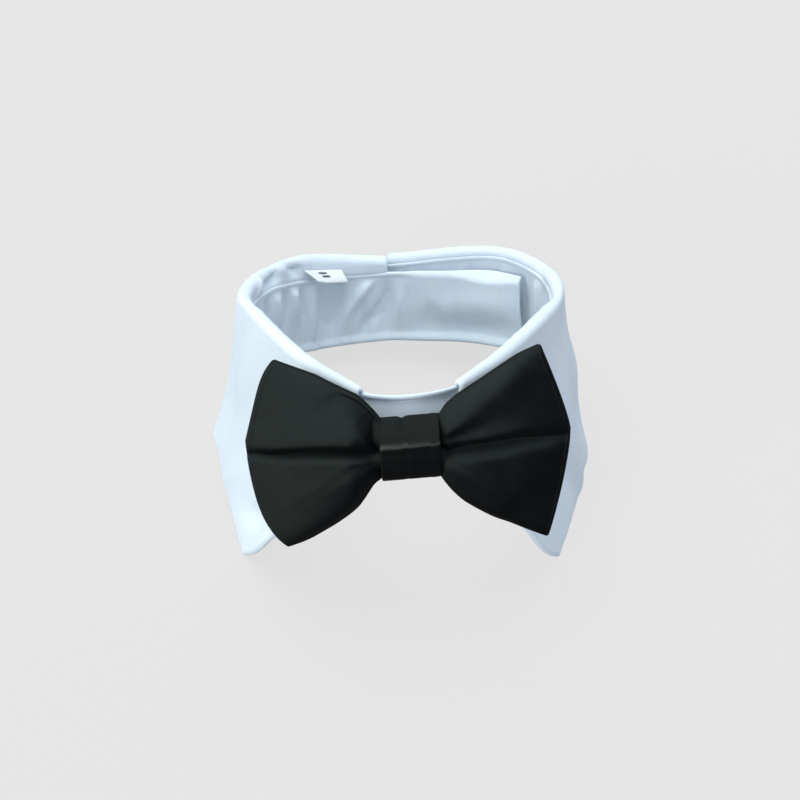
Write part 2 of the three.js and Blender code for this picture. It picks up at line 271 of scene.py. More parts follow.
def cloth_piece(name, grid, wall, material, weave=None, floor=False, swell=0.0):
    """A closed piece of cloth through a grid of points in mm. weave is where each point lies on
    the flat cloth, in mm along and down. floor keeps the piece from going under z = 0. swell
    lifts one face off the other, for a lining that is longer than the cloth behind it."""
    rows, columns = grid.shape[:2]
    offset = half_thickness(grid, wall) * normals(grid)
    swollen = 1 + np.maximum(np.asarray(swell) / (wall / 2), -MOST_SUNK)
    swollen = np.broadcast_to(swollen, (rows, columns))[..., None]
    face, back = grid + offset * swollen, grid - offset
    front_of = np.arange(rows * columns).reshape(rows, columns)
    inner = np.zeros((rows, columns), bool)
    inner[1:-1, 1:-1] = True
    back_of = front_of.copy()
    back_of[inner] = rows * columns + np.arange(inner.sum())
    points = np.concatenate([face.reshape(-1, 3), back[inner]])
    if floor:
        points[:, 2] = np.maximum(points[:, 2], 0)

    def quads(at, order):
        corners = [at[:-1, :-1], at[1:, :-1], at[1:, 1:], at[:-1, 1:]]
        return np.stack(corners[::order], -1).reshape(-1, 4)

    faces = np.concatenate([quads(front_of, 1), quads(back_of, -1)])
    if volume_of(points, faces) < 0:
        faces = faces[:, ::-1]
    if weave is None:
        weave = np.stack([lengths(grid, 0), lengths(grid, 1)], -1)
    flat = np.concatenate([weave.reshape(-1, 2), weave[inner]])
    piece = mesh_piece(name, points, faces.tolist(), material, flat)
    print(f"{name}: {len(faces)} faces, {wall} mm thick, {area_of(grid) / 100:.1f} square cm")
    return piece, face


print("cloth may be pressed to", round(1 - MOST_SUNK / 2, 2), "of its thickness")

# %% Making the mesh
UV_UNIT = 10.0  # one unit of the UV map is a centimetre of cloth


def mesh_piece(name, points, faces, material, flat=None):
    """A smooth mesh of points in mm. flat, also in mm, is where they lie on the flat cloth."""
    mesh = bpy.data.meshes.new(name)
    mesh.from_pydata((points * MM).tolist(), [], faces)
    mesh.polygons.foreach_set("use_smooth", [True] * len(mesh.polygons))
    if flat is not None:
        layer = mesh.uv_layers.new(name="cloth")
        corner = np.zeros(len(mesh.loops), np.int32)
        mesh.loops.foreach_get("vertex_index", corner)
        layer.data.foreach_set("uv", (flat[corner] / UV_UNIT).ravel())
    mesh.materials.append(material)
    piece = bpy.data.objects.new(name, mesh)
    bpy.context.scene.collection.objects.link(piece)
    return piece


def volume_of(points, faces):
    """The volume inside a closed mesh of quads, negative if its faces point inwards."""
    a, b, c, d = (points[faces[:, k]] for k in range(4))
    return float(((a * np.cross(b, c)).sum() + (a * np.cross(c, d)).sum()) / 6)


def area_of(grid):
    """The area of a grid's middle surface, in square mm."""
    one, two = grid[1:, 1:] - grid[:-1, :-1], grid[1:, :-1] - grid[:-1, 1:]
    return float(np.linalg.norm(np.cross(one, two), axis=-1).sum() / 2)


def stands_for(piece, node):
    """The piece hangs from the root's frame in place of a node, and the node is hidden."""
    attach(piece, "root")
    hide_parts(node)


patch = np.array([[[0, 0, 0], [10, 0, 0]], [[0, 20, 0], [10, 20, 0]]])
print("a patch of 10 x 20 mm measures", area_of(patch), "square mm")

# %% [markdown]
# ## Folds, dents and ripples
# Pressed cotton is never flat: it keeps shallow swells where it has been bent, and it ripples
# beside every seam, because the thread draws it in. Each swell or dent is a row in a table, with
# its place on the cloth, its size and how far it lifts the surface. Ripples are a sum of three
# sines whose lengths never line up, which looks uneven without any random numbers. Giving the
# folds one by one, and not by a cloth simulation, puts each fold where the real one has it.

# %% Folds, dents and ripples
DENT = "along down wide tall lean lift"  # its middle, half its size, its slant and its height
WAVES = ((1.0, 1.0, 0), (0.7, 1.618, 1), (0.5, 2.414, 2))  # each sine's height, turns and shift


def dents(rows, along, down):
    """The lift of a table of dents at places along and down the cloth, all in mm."""
    lift = np.zeros(np.broadcast(along, down).shape)
    for a, d, wide, tall, lean, height in zip(*rows.values()):
        across = (along - a - lean * (down - d) / tall) / wide
        lift = lift + height * np.exp(-(across**2) - ((down - d) / tall) ** 2)
    return lift


def ripple(s, period, shift=0.0):
    """An uneven wave of about that period and a height of about 1."""
    turn = 2 * np.pi * s / period + shift
    wave = sum(height * np.sin(turns * turn + start) for height, turns, start in WAVES)
    return wave / sum(height for height, _, _ in WAVES)


print("a ripple at 0, 3, 6 and 9 mm:", ripple(np.arange(0, 10, 3), 10).round(2))

# %% [markdown]
# ## White shirt cotton
# Shirt cotton is a plain weave of about thirty threads to the centimetre, matt, with a faint
# bloom of fibre ends. Two sine waves in the cloth's own coordinates make the bumps where one
# thread passes over another, a checker gives the lengthwise and crosswise threads slightly
# different whites, and two layers of noise add slubs and the soft cockle of washed cotton. The
# white leans a little to blue, as optically brightened cotton does. An image would do this too,
# but a formula stays sharp at any distance and follows each piece's grain.

# %% Node helpers
class Nodes:
    """Adds nodes to a material in one line each, linked to the sockets given as values."""

    def __init__(self, material):
        self.tree = material.node_tree

    def add(self, kind, values=(), **settings):
        node = self.tree.nodes.new(kind)
        for name, value in settings.items():
            setattr(node, name, value)
        for key, value in dict(values).items():
            if isinstance(value, bpy.types.NodeSocket):
                self.tree.links.new(value, node.inputs[key])
            else:
                node.inputs[key].default_value = value
        return node

    def math(self, operation, a, b=0.0, c=0.0):
        return self.add("ShaderNodeMath", {0: a, 1: b, 2: c}, operation=operation).outputs[0]

    def mix(self, amount, one, two):
        """A mix of two colours. The node's colours are its sockets 6 and 7, and its output 2."""
        return self.add("ShaderNodeMix", {0: amount, 6: one, 7: two}, data_type="RGBA").outputs[2]

    def noise(self, size, detail=2.0):
        """Noise whose lumps are about size mm across, in the frame's own space."""
        where = self.add("ShaderNodeTexCoord").outputs["Object"]
        values = {"Vector": where, "Scale": 1 / (size * MM), "Detail": detail}
        return self.add("ShaderNodeTexNoise", values).outputs["Fac"]

    def link(self, socket, shader, name):
        self.tree.links.new(socket, shader.inputs[name])


def weave_nodes(nodes, pitch):
    """The height of a plain weave and which of its two threads is on top."""
    place = nodes.add("ShaderNodeUVMap", uv_map="cloth").outputs["UV"]
    threads = UV_UNIT / pitch
    values = {0: place, 1: (threads, threads, 0)}
    scaled = nodes.add("ShaderNodeVectorMath", values, operation="MULTIPLY").outputs[0]
    split = nodes.add("ShaderNodeSeparateXYZ", {0: scaled})
    waves = []
    for axis in ("X", "Y"):
        turn = nodes.math("MULTIPLY", split.outputs[axis], math.pi)
        waves.append(nodes.math("ABSOLUTE", nodes.math("SINE", turn)))
    height = nodes.math("MULTIPLY", *waves)
    on_top = nodes.add("ShaderNodeTexChecker", {"Vector": scaled, "Scale": 1.0})
    return height, on_top.outputs["Fac"]


def bumps(nodes, shader, layers):
    """Stacks bump layers given as (height socket, depth in mm), and links them to a shader."""
    normal = None
    for height, depth in layers:
        values = {"Height": height, "Distance": depth * MM, "Strength": 1.0}
        if normal is not None:
            values["Normal"] = normal
        normal = nodes.add("ShaderNodeBump", values).outputs["Normal"]
    nodes.link(normal, shader, "Normal")


print("node helpers:", [name for name in vars(Nodes) if not name.startswith("_")])

# %% The cotton
THREAD_PITCH = 0.32
COTTON_WHITE, COTTON_SHADE = (0.78, 0.87, 0.94, 1), (0.71, 0.80, 0.88, 1)
COCKLE_SIZE, SLUB_SIZE = 7.0, 1.1
COTTON_DEPTHS = {"cockle": 0.30, "slub": 0.05, "weave": 0.05}


def cotton(name):
    material, shader = new_material(name)
    nodes = Nodes(material)
    height, on_top = weave_nodes(nodes, THREAD_PITCH)
    cockle = nodes.noise(COCKLE_SIZE, 3.0)
    slub = nodes.noise(SLUB_SIZE)
    thread = nodes.mix(nodes.math("MULTIPLY", on_top, 0.25), COTTON_WHITE, COTTON_SHADE)
    colour = nodes.mix(nodes.math("MULTIPLY", slub, 0.35), thread, COTTON_SHADE)
    nodes.link(colour, shader, "Base Color")
    rough = nodes.math("MULTIPLY_ADD", slub, 0.12, 0.80)
    nodes.link(rough, shader, "Roughness")
    shader.inputs["Specular IOR Level"].default_value = 0.25
    shader.inputs["Sheen Weight"].default_value = 0.12
    shader.inputs["Sheen Roughness"].default_value = 0.5
    heights = {"cockle": cockle, "slub": slub, "weave": height}
    bumps(nodes, shader, [(heights[layer], depth) for layer, depth in COTTON_DEPTHS.items()])
    return material


LEAF_COTTON = cotton("white_cotton")
print(LEAF_COTTON.name, "has", len(LEAF_COTTON.node_tree.nodes), "nodes")

# %% [markdown]
# ## The ribs of the leaves
# A collar leaf is cut flat, sewn along the top of the stand, rolled over and pressed down. Each
# row of these tables is one rib of it, from the back of the neck to the front edge: where the
# crest of the roll is, how tight it rolls, how deep its seam lies, how tall the stand is under it
# and where its hem meets the table. The last three columns bend the part that hangs: how full it
# is under the roll, how far it kicks out at the hem, and how far it is swept along it. Each
# station lies within three millimetres of the packed wall's, so the cloth lies where the wall does.

# %% Leaf tables
RING_TILT = math.radians(24)
RING_AXIS = np.array([0, math.sin(RING_TILT), math.cos(RING_TILT)])
SEWING_GAP = 0.3  # room left where one piece ends at another
LEAF_WALL = 1.4
RIB = "x y z roll seam stand hemX hemY belly flare sway"
LEFT_RIBS = table(RIB, [
    [-4.5, 58.3, 34.4, 1.9, 4.5, 24.1, -4.5, 57.8, 0.0, 0.0, 0.0],  # centre back
    [-30.0, 56.3, 37.4, 2.0, 7.6, 25.2, -32.0, 54.3, 0.0, 0.0, 0.0],  # back quarter
    [-43.2, 41.8, 46.0, 2.0, 6.2, 25.6, -52.0, 38.8, 1.4, 1.5, 0.0],  # rear corner
    [-48.4, 18.2, 59.9, 1.6, 5.2, 24.2, -61.0, 13.3, 3.4, 2.4, 0.0],  # side
    [-42.3, 1.8, 68.2, 1.5, 4.4, 23.6, -58.9, 1.3, 2.0, 1.6, 0.0],  # cheek
    [-27.8, -21.2, 75.4, 1.5, 3.0, 22.2, -54.9, -15.7, 0.0, -2.0, 0.0],  # beside the bow
    [-12.0, -38.2, 81.0, 0.95, 1.8, 21.6, -49.4, -37.2, 0.8, -4.0, 3.0],  # front edge
])
RIGHT_RIBS = table(RIB, [
    [-4.1, 62.6, 31.2, 1.7, 2.6, 23.0, -4.1, 61.9, 0.0, 0.0, 0.0],  # centre back
    [31.5, 57.5, 39.8, 1.6, 2.3, 29.4, 34.5, 54.8, 0.0, 0.0, 0.0],  # back quarter
    [46.6, 42.1, 47.2, 1.7, 2.7, 29.7, 53.0, 37.3, 0.0, 1.5, 0.0],  # rear corner
    [49.2, 18.8, 59.7, 1.5, 3.6, 26.8, 61.1, 5.4, 3.0, 1.0, 0.0],  # side
    [43.5, 3.5, 67.9, 1.6, 3.8, 24.2, 59.3, -6.4, 0.6, -2.0, 0.0],  # cheek
    [29.8, -18.7, 75.0, 1.5, 3.0, 22.2, 56.4, -18.2, 0.0, -2.5, 0.0],  # beside the bow
    [17.2, -34.6, 79.9, 0.95, 1.8, 21.6, 49.9, -38.0, 0.8, -4.0, 3.0],  # front edge
])
for half, ribs in (("left", LEFT_RIBS), ("right", RIGHT_RIBS)):
    print(half, "leaf: crest", round(Track(ribs).length), "mm long")

# %% [markdown]
# ## Shaping a leaf
# A rib goes up from the seam, over the roll and down to the hem. The fall is a Bezier curve: it
# leaves the roll straight down the stand and swings out to meet the table, which is how stiff
# pressed cotton hangs when its own hem carries it. The front edge runs a little fuller than its
# rib just above the point, and its seam is pressed in behind it, so a few more columns of cloth
# carry the leaf on to that edge and turn it in.

# %% Leaf shape
LEAF_STEPS = {"along": 200, "leg": 5, "roll": 14, "fall": 70, "front": 28}


def outward(track, s, side):
    """The direction away from the neck, at right angles to the ring's axis."""
    return unit(-side * np.cross(track.tangent(s), RING_AXIS))


def leaf_grid(rows, side):
    """The middle surface of a leaf, and how far each point is along and below its crest. side
    is -1 for the left leaf and 1 for the right one."""
    track = Track(rows)
    s = with_rims(LEAF_STEPS["along"], 0, track.length, LEAF_WALL / 2)
    crest, out = track.point(s)[:, None], outward(track, s, side)[:, None]
    roll, seam = (track.read(name, s)[:, None, None] for name in ("roll", "seam"))
    rim = LEAF_WALL / 2
    ends = (rim * RIM_SHARES)[None, :, None] + 0 * roll
    risen = np.linspace(0, 1, LEAF_STEPS["leg"] + 1)[None, 1:, None]
    up = np.concatenate([ends, rim + (seam - roll - rim) * risen], 1)
    leg = crest - out * roll + RING_AXIS * (up - seam)
    turn = np.linspace(math.pi, 0, LEAF_STEPS["roll"] + 1)[None, 1:, None]
    over = crest + out * roll * np.cos(turn) + RING_AXIS * roll * (np.sin(turn) - 1)
    fall = leaf_fall(track, s, over[:, -1], out[:, 0])
    grid = np.concatenate([leg, over, fall], 1)
    down = lengths(grid, 1)
    top = leg.shape[1] - 1 + LEAF_STEPS["roll"] // 2
    return grid, np.broadcast_to(s[:, None], down.shape), down - down[:, top : top + 1]


def leaf_fall(track, s, start, out):
    """The part of each rib that hangs from the roll to the hem."""
    belly, flare, sway = (track.read(name, s)[:, None] for name in ("belly", "flare", "sway"))
    hem = np.stack([track.read("hemX", s), track.read("hemY", s), 0 * s], -1)
    third = np.linalg.norm(hem - start, axis=-1, keepdims=True) / 3
    hung = start - RING_AXIS * third + out * belly
    kick = hem + (start - hem) / 3 - out * flare + track.tangent(s) * sway
    rim = LEAF_WALL / 2 / (3 * third)
    share = np.linspace(0, 1, LEAF_STEPS["fall"] + 1)[None, 1:] * (1 - rim)
    share = np.concatenate([share, 1 - rim * RIM_SHARES[None, -2::-1]], 1)[..., None]
    rest = 1 - share
    weights = [rest**3, 3 * share * rest**2, 3 * share**2 * rest, share**3]
    points = [point[:, None] for point in (start, hung, kick, hem)]
    return sum(weight * point for weight, point in zip(weights, points))


for half, ribs, side in (("left", LEFT_RIBS, -1), ("right", RIGHT_RIBS, 1)):
    fall = leaf_grid(ribs, side)[2][:, -1]
    print(f"{half} leaf: {fall[0]:.0f} mm deep at the back and {fall[-1]:.0f} at the front edge")

# %% The front edge
FRONT = table("above wide", [  # how far the front edge runs past the last rib, above the hem
    [0, 0.8],
    [4, 3.1],
    [8, 4.4],
    [14, 5.1],
    [24, 4.5],
    [45, 2.5],
    [100, 1.0],
])
EDGE_BEND, EDGE_ANGLE = 0.9, 1.9  # the radius in mm of the turned edge, and its turn in radians
AHEAD = 7  # the front edge goes on the way that this many last columns do


def turned_front(grid, side, above_hem):
    """Columns that carry the leaf on past its last rib, and turn its very edge in."""
    wide = np.interp(above_hem[-1], FRONT["above"], FRONT["wide"])
    rim = LEAF_WALL / 2 / wide.max()
    even = np.linspace(0, 1 - rim, LEAF_STEPS["front"])[1:]
    share = np.concatenate([even, 1 - rim * RIM_SHARES[-2::-1]])
    past = share[:, None] * wide
    flat = np.minimum(past, np.maximum(wide - EDGE_BEND * EDGE_ANGLE, 0))
    bent = (past - flat) / EDGE_BEND
    ahead = unit(grid[-1] - grid[-1 - AHEAD])
    inward = -side * normals(grid)[-1]
    forward = flat + EDGE_BEND * np.sin(bent)
    aside = EDGE_BEND * (1 - np.cos(bent))
    return grid[-1] + forward[..., None] * ahead + aside[..., None] * inward, past


print("the front edge runs up to", FRONT["wide"].max(), "mm past the last rib")

# %% [markdown]
# ## Folds in the leaves
# Each leaf gets its own table of folds, hollows in the roll first and then those of the part that
# hangs. Under them lie three sets of ripples: puckers along the roll, where the seam draws it in,
# slow waves across the middle, and small puckers along the hem. The seam itself holds the cloth
# flat, so every lift fades out towards it.

# %% The two leaves
ROLL_PUCKERS = {"lift": 0.10, "period": 11.0, "reach": 7.0}
SLOW_WAVES = {"lift": 0.30, "period": 34.0, "slant": 0.2}
HEM_PUCKERS = {"lift": 0.06, "period": 12.0, "reach": 6.0}
SEAM_HOLD = 2.5  # the seam holds the cloth for so many mm


def puckers(kind, along, away, shift):
    """Ripples along an edge that die out away from it."""
    fading = np.exp(-((away / kind["reach"]) ** 2))
    return kind["lift"] * ripple(along, kind["period"], shift) * fading


def leaf_cloth(name, rows, side, folds):
    grid, along, down = leaf_grid(rows, side)
    fall = np.clip(down / down[:, -1:], 0, 1)
    above_hem = down[:, -1:] - down
    slow = ripple(along + SLOW_WAVES["slant"] * down, SLOW_WAVES["period"], 3 * side)
    lift = dents(folds, along, down)
    lift += puckers(ROLL_PUCKERS, along, down, side)
    lift += SLOW_WAVES["lift"] * slow * np.sin(np.pi * fall) ** 2
    lift += puckers(HEM_PUCKERS, along, above_hem, 2 * side)
    lift *= np.clip((down - down[:, :1]) / SEAM_HOLD, 0, 1)
    grid = grid + side * normals(grid) * lift[..., None]
    front, past = turned_front(grid, side, above_hem)
    grid = np.concatenate([grid, front])
    grid[:, -1, 2] = 0
    weave = np.stack([
        np.concatenate([along, along[-1] + past]),
        np.concatenate([down, 0 * past + down[-1]]),
    ], -1)
    leaf, _ = cloth_piece(name, grid, LEAF_WALL, LEAF_COTTON, weave, floor=True)
    return leaf


LEFT_FOLDS = table(DENT, [
    [12.0, -1.5, 6.0, 2.5, 1.0, -0.5],
    [22.0, -1.8, 6.0, 2.2, 1.0, -0.6],
    [34.5, -3.4, 3.4, 2.8, 1.0, -2.3],  # hollows in the roll
    [40.5, -2.6, 1.6, 2.6, 1.0, 0.5],
    [46.5, -4.0, 3.8, 3.6, -2.0, -2.8],
    [53.5, -4.6, 3.2, 2.4, -2.0, -1.2],
    [60.5, -3.6, 1.6, 3.8, -4.2, 1.0],  # the sharp crease beside them
    [84.0, 16.0, 6.0, 14.0, -1.0, -1.6],  # the side falls away from the light
    [86.0, 42.0, 8.0, 18.0, 5.0, -2.0],
    [97.0, 36.0, 8.0, 30.0, 8.0, 0.7],
    [122.0, 62.0, 9.0, 20.0, -8.0, 0.7],
    [139.0, 73.0, 5.5, 6.0, 0.0, -1.7],  # dent above the point
])
RIGHT_FOLDS = table(DENT, [
    [24.0, -2.5, 9.0, 3.0, 0.0, 0.3],
    [60.0, -2.5, 5.0, 3.0, 2.0, -0.8],
    [69.0, -2.5, 3.0, 3.0, 2.0, 0.5],
    [92.0, 12.0, 9.0, 14.0, 3.0, -1.4],
    [78.0, 31.0, 8.0, 11.0, 2.0, 2.0],
    [92.0, 44.0, 8.0, 22.0, 8.0, -1.6],
    [108.0, 46.0, 9.0, 30.0, 8.0, 0.7],
    [128.0, 62.0, 8.0, 24.0, 4.0, -0.6],
])
leaf_left = leaf_cloth("collar_leaf_left", LEFT_RIBS, -1, LEFT_FOLDS)
leaf_right = leaf_cloth("collar_leaf_right", RIGHT_RIBS, 1, RIGHT_FOLDS)
stands_for(leaf_left, "leaf_left")
stands_for(leaf_right, "leaf_right")

# %% [markdown]
# ## The stand band
# The band is two layers of cotton over a stiffener, sewn to the leaves just under the roll. It is
# one strip: a tab that passes inside the right half at the back, the left half, the bare throat
# and the right half. The strip is laid along its top edge and hangs along the ring's axis.

# %% Band
BAND_WALL = 1.6
BAND_STEPS = (520, 56)  # along and down
SEAM_LEDGE = {"overlap": 0.5, "out": 0.35, "tall": 1.6}
THROAT = [[1.5, -41.0, 81.5, 21.4]]
TAB = [
    [38.2, 43.5, 40.4, 25.5],  # free end of the tab
    [22.0, 50.5, 35.6, 25.3],
    [8.0, 53.5, 32.8, 25.0],
]
TAB_LENGTH, TAB_FADE = 34.0, 8.0  # the tab, and how far past it the band's own wrinkles begin


def band_rows(rows, side):
    """The top edge of the band under each rib of a leaf, and the band's height there."""
    track = Track(rows)
    across = outward(track, track.knots, side) * rows["roll"][:, None]
    raised = SEAM_LEDGE["overlap"]
    drop = RING_AXIS * (rows["seam"] - raised)[:, None]
    stand = rows["stand"] + raised + SEWING_GAP
    return np.column_stack([track.point(track.knots) - across - drop, stand])


def strip_grid(rows, counts, wall):
    """A strip that hangs from its table's points along the ring's axis, with s and down."""
    track = Track(rows)
    s = with_rims(counts[0], 0, track.length, wall / 2)
    stand = track.read("stand", s)[:, None]
    down = stand * with_rims(counts[1], 0, 1, wall / 2 / stand.mean())
    grid = track.point(s)[:, None] - RING_AXIS * down[..., None]
    return grid, np.broadcast_to(s[:, None], down.shape), down, stand


BAND = table("x y z stand", np.concatenate([
    TAB,
    band_rows(LEFT_RIBS, -1),
    THROAT,
    band_rows(RIGHT_RIBS, 1)[::-1],
]))
print("the band's strip is", round(Track(BAND).length), "mm long")

# %% [markdown]
# ## Wrinkles in the band
# The stiffener keeps the band upright, while its inner layer is a little long for the curve and
# buckles into soft upright wrinkles all round, so these are a swell of the inner face alone. The
# tab lies smoother: its top edge leans away from the neck, and its free end is cut on a slant.
# Between the leaves the throat's top edge is bare and stands in as a thin lip. The lower edge is
# turned up and stitched, which makes it thicker, with a groove where the thread pulls.

# %% The band's wrinkles and edges
TAB_DENTS = table(DENT, [
    [13.0, 11.0, 15.0, 4.8, 1.0, 1.0],  # the tab bellies over the pad inside it
    [17.0, 20.0, 15.0, 4.4, 1.0, -1.7],
    [27.0, 12.0, 4.0, 6.0, -2.0, 0.5],
    [31.0, 16.0, 3.0, 5.0, 1.0, -0.8],
])
LINING = table(DENT, [
    [40.5, 12.0, 2.6, 9.0, 0.0, 1.0],
    [45.4, 12.0, 2.0, 8.0, 0.0, -1.4],
    [49.5, 15.0, 2.2, 6.0, 3.8, -1.6],
    [53.6, 7.0, 1.9, 6.0, 3.5, 1.7],
    [58.5, 15.0, 2.2, 6.0, 0.0, 0.8],
    [64.5, 9.0, 4.0, 8.0, 0.8, -3.8],  # the deepest, under the label
    [70.6, 12.0, 2.0, 12.0, 0.5, 2.0],
    [75.0, 7.0, 1.2, 7.0, 0.0, -2.0],
    [79.4, 7.0, 2.0, 8.0, 0.0, 2.0],
    [83.8, 9.0, 1.6, 9.0, 0.5, -2.4],
    [90.0, 8.0, 2.6, 8.0, 0.0, 2.0],
    [97.0, 9.0, 1.8, 9.0, 0.0, -1.8],
    [316.5, 16.0, 3.0, 10.0, -0.5, -2.2],  # behind the free end of the tab
    [308.0, 8.0, 2.4, 9.0, 0.0, 1.1],
    [302.0, 9.0, 2.0, 9.0, 0.0, -1.2],
])
LEAF_ENDS = {"left": (178, 184), "right": (216, 222)}  # where they are, along the band
THROAT_LIP = {"in": 1.5, "rises": (0.5, 1.5), "falls": (2.0, 8.5)}
THROAT_THIN = {"by": 0.5, "until": (4.0, 8.5), "least": 0.4, "grows": (188, 212)}
BAND_WAVE = {"lift": 0.20, "period": 23.0}
TAB_TOP = {"lean": 0.8, "more": 2.0, "at": 11.0, "wide": 9.0}  # how far the tab's top leans
TAB_BEND = {"push": 1.3, "tall": 0.9, "base": 0.6, "power": 1.2}  # and over what height it bends
TAB_SLANT = {"top": 0.8, "more": 1.8, "reach": 16.0}
WRINKLES = table("lift slant period shift power", [
    [0.42, 0.12, 8.5, 0.0, 0.7],
    [0.20, -0.30, 4.1, 1.0, 1.0],
])
HEM = {"row": 2.4, "from": 3.6, "full": 2.0, "thick": 0.9, "groove": 0.30, "wide": 0.5}
TOP_FLAT = {"until": 1.2, "full": 3.4, "more": 1.2}  # the lining lies flat under the top edge
TAB_SHARE = 0.2  # how much of the band's wrinkles the tab keeps
print("dents in the lining:", len(LINING["lift"]), "with the deepest", -LINING["lift"].min(), "mm")

# %% Lifting the band and its lining
def step(values, first, last):
    """0 below first, 1 above last and smooth between them."""
    share = np.clip((values - first) / (last - first), 0, 1)
    return share * share * (3 - 2 * share)


def band_zones(s):
    """How far each place along the band is past the tab, under a leaf, and bare at the throat."""
    past_tab = step(s, TAB_LENGTH, TAB_LENGTH + TAB_FADE)
    under_leaf = past_tab * (1 - step(s, *LEAF_ENDS["left"]) + step(s, *LEAF_ENDS["right"]))
    least = THROAT_THIN["least"]
    bare = past_tab * (1 - under_leaf) * (least + (1 - least) * step(s, *THROAT_THIN["grows"]))
    return past_tab, under_leaf, bare


def band_lift(s, down, share):
    """How far the whole band stands in towards the neck, in mm."""
    past_tab, under_leaf, bare = band_zones(s)
    wave = BAND_WAVE["lift"] * ripple(s, BAND_WAVE["period"])
    lift = wave * np.sin(np.pi * share) * past_tab + dents(TAB_DENTS, s, down)
    lift += SEAM_LEDGE["out"] * (1 - step(down, 0.5, SEAM_LEDGE["tall"])) * under_leaf
    lip = step(down, *THROAT_LIP["rises"]) - step(down, *THROAT_LIP["falls"])
    lift += THROAT_LIP["in"] * lip * bare
    most = np.exp(-(((s - TAB_TOP["at"]) / TAB_TOP["wide"]) ** 2))
    lean = (TAB_TOP["lean"] + TAB_TOP["more"] * most) * (1 - past_tab)
    tall = TAB_BEND["tall"] * lean + TAB_BEND["base"]
    return lift - TAB_BEND["push"] * lean * np.clip(1 - down / tall, 0, 1) ** TAB_BEND["power"]


def lining_swell(s, down, stand):
    """How far the inner layer stands off the stiffener, in mm."""
    past_tab, _, bare = band_zones(s)
    swell, share = 0 * down, down / stand
    for lift, slant, period, shift, power in zip(*WRINKLES.values()):
        wave = ripple(s + slant * down, period, shift)
        swell += lift * wave * np.sin(np.pi * share) ** power
    swell = swell * (TAB_SHARE + (1 - TAB_SHARE) * past_tab) + dents(LINING, s, down)
    swell += HEM["thick"] * step(down, stand - HEM["from"], stand - HEM["full"])
    swell -= HEM["groove"] * np.exp(-(((stand - down - HEM["row"]) / HEM["wide"]) ** 2))
    swell *= step(down, TOP_FLAT["until"], TOP_FLAT["full"] + TOP_FLAT["more"] * past_tab)
    return swell - THROAT_THIN["by"] * (1 - step(down, *THROAT_THIN["until"])) * bare


def band_cloth():
    grid, s, down, stand = strip_grid(BAND, BAND_STEPS, BAND_WALL)
    share = down / stand
    slant = TAB_SLANT["top"] + TAB_SLANT["more"] * share
    slant = slant * np.clip(1 - s / TAB_SLANT["reach"], 0, 1)
    back = -unit(np.gradient(grid, axis=0))
    lift = band_lift(s, down, share)
    grid = grid + normals(grid) * lift[..., None] + back * slant[..., None]
    swell = lining_swell(s, down, stand)
    band, face = cloth_piece("stand_band", grid, BAND_WALL, LEAF_COTTON, swell=swell)
    return band, face, s, down, stand


band, band_face, band_s, band_down, band_stand = band_cloth()
stands_for(band, "neck_band")

# %% [markdown]
# ## Stitches
# A lockstitch shows as a row of short raised dashes, each pulled under at both ends. Thirty to
# forty of them fit on ten centimetres of shirt. They are made as small rounded tubes along a line
# on the cloth's face and joined to one mesh a row. A bump could draw them, but real ones catch
# the light from the side and sit in the groove that the thread pulls.

# %% Thread
STITCH = {"length": 2.3, "gap": 0.5, "radius": 0.16, "sunk": 0.9, "blunt": 0.03, "rings": 7}
THREAD_SIDES = 6
THREAD_WHITE, THREAD_SHADE = (0.80, 0.87, 0.90, 1), (0.66, 0.74, 0.80, 1)

THREAD_MATERIAL, thread_shader = new_material("white_thread")
thread_nodes = Nodes(THREAD_MATERIAL)
thread_noise = thread_nodes.noise(0.5)
thread_colour = thread_nodes.mix(thread_noise, THREAD_WHITE, THREAD_SHADE)
thread_nodes.link(thread_colour, thread_shader, "Base Color")
thread_shader.inputs["Roughness"].default_value = 0.6
bumps(thread_nodes, thread_shader, [(thread_noise, 0.08)])
pitch = STITCH["length"] + STITCH["gap"]
print("stitches on ten centimetres:", round(100 / pitch))

# %% Tubes and stitch rows
def around(aside, away):
    """Directions all round a thread, from the two that lie across it."""
    turn = np.linspace(0, 2 * np.pi, THREAD_SIDES + 1)[:-1, None]
    return aside[..., None, :] * np.cos(turn) + away[..., None, :] * np.sin(turn)


def tubes(name, points, material):
    """Closed tubes from points[tube, ring, corner], all in one piece."""
    many, rings, sides = points.shape[:3]
    index = np.arange(many * rings * sides).reshape(many, rings, sides)
    ahead = np.roll(index, -1, 2)
    walls = [index[:, :-1], ahead[:, :-1], ahead[:, 1:], index[:, 1:]]
    faces = np.stack(walls, -1).reshape(-1, 4).tolist()
    for tube in range(many):
        faces += [index[tube, 0, ::-1].tolist(), index[tube, -1].tolist()]
    piece = mesh_piece(name, points.reshape(-1, 3), faces, material)
    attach(piece, "root")
    print(f"{name}: {many} tubes")
    return piece


def stitch_row(name, line, up):
    """Stitches along a line of points in mm, whose cloth faces up."""
    gaps = np.linalg.norm(np.diff(line, axis=0), axis=1)
    at = np.concatenate([[0], np.cumsum(gaps)])
    pitch = STITCH["length"] + STITCH["gap"]
    count = int(at[-1] / pitch)
    start = np.arange(count) * pitch + STITCH["gap"] / 2 + (at[-1] - count * pitch) / 2
    share = np.linspace(0, 1, STITCH["rings"])
    where = start[:, None] + STITCH["length"] * share

    def read(values):
        return np.stack([np.interp(where, at, values[:, k]) for k in range(3)], -1)

    middle, away = read(line), unit(read(up))
    fat = np.clip(share, STITCH["blunt"], 1 - STITCH["blunt"])
    fat = STITCH["radius"] * np.sqrt(np.sin(np.pi * fat))
    middle = middle + away * (fat - STITCH["sunk"] * STITCH["radius"])[:, None]
    aside = np.cross(unit(np.gradient(middle, axis=1)), away)
    points = middle[:, :, None] + around(aside, away) * fat[None, :, None, None]
    return tubes(name, points, THREAD_MATERIAL)


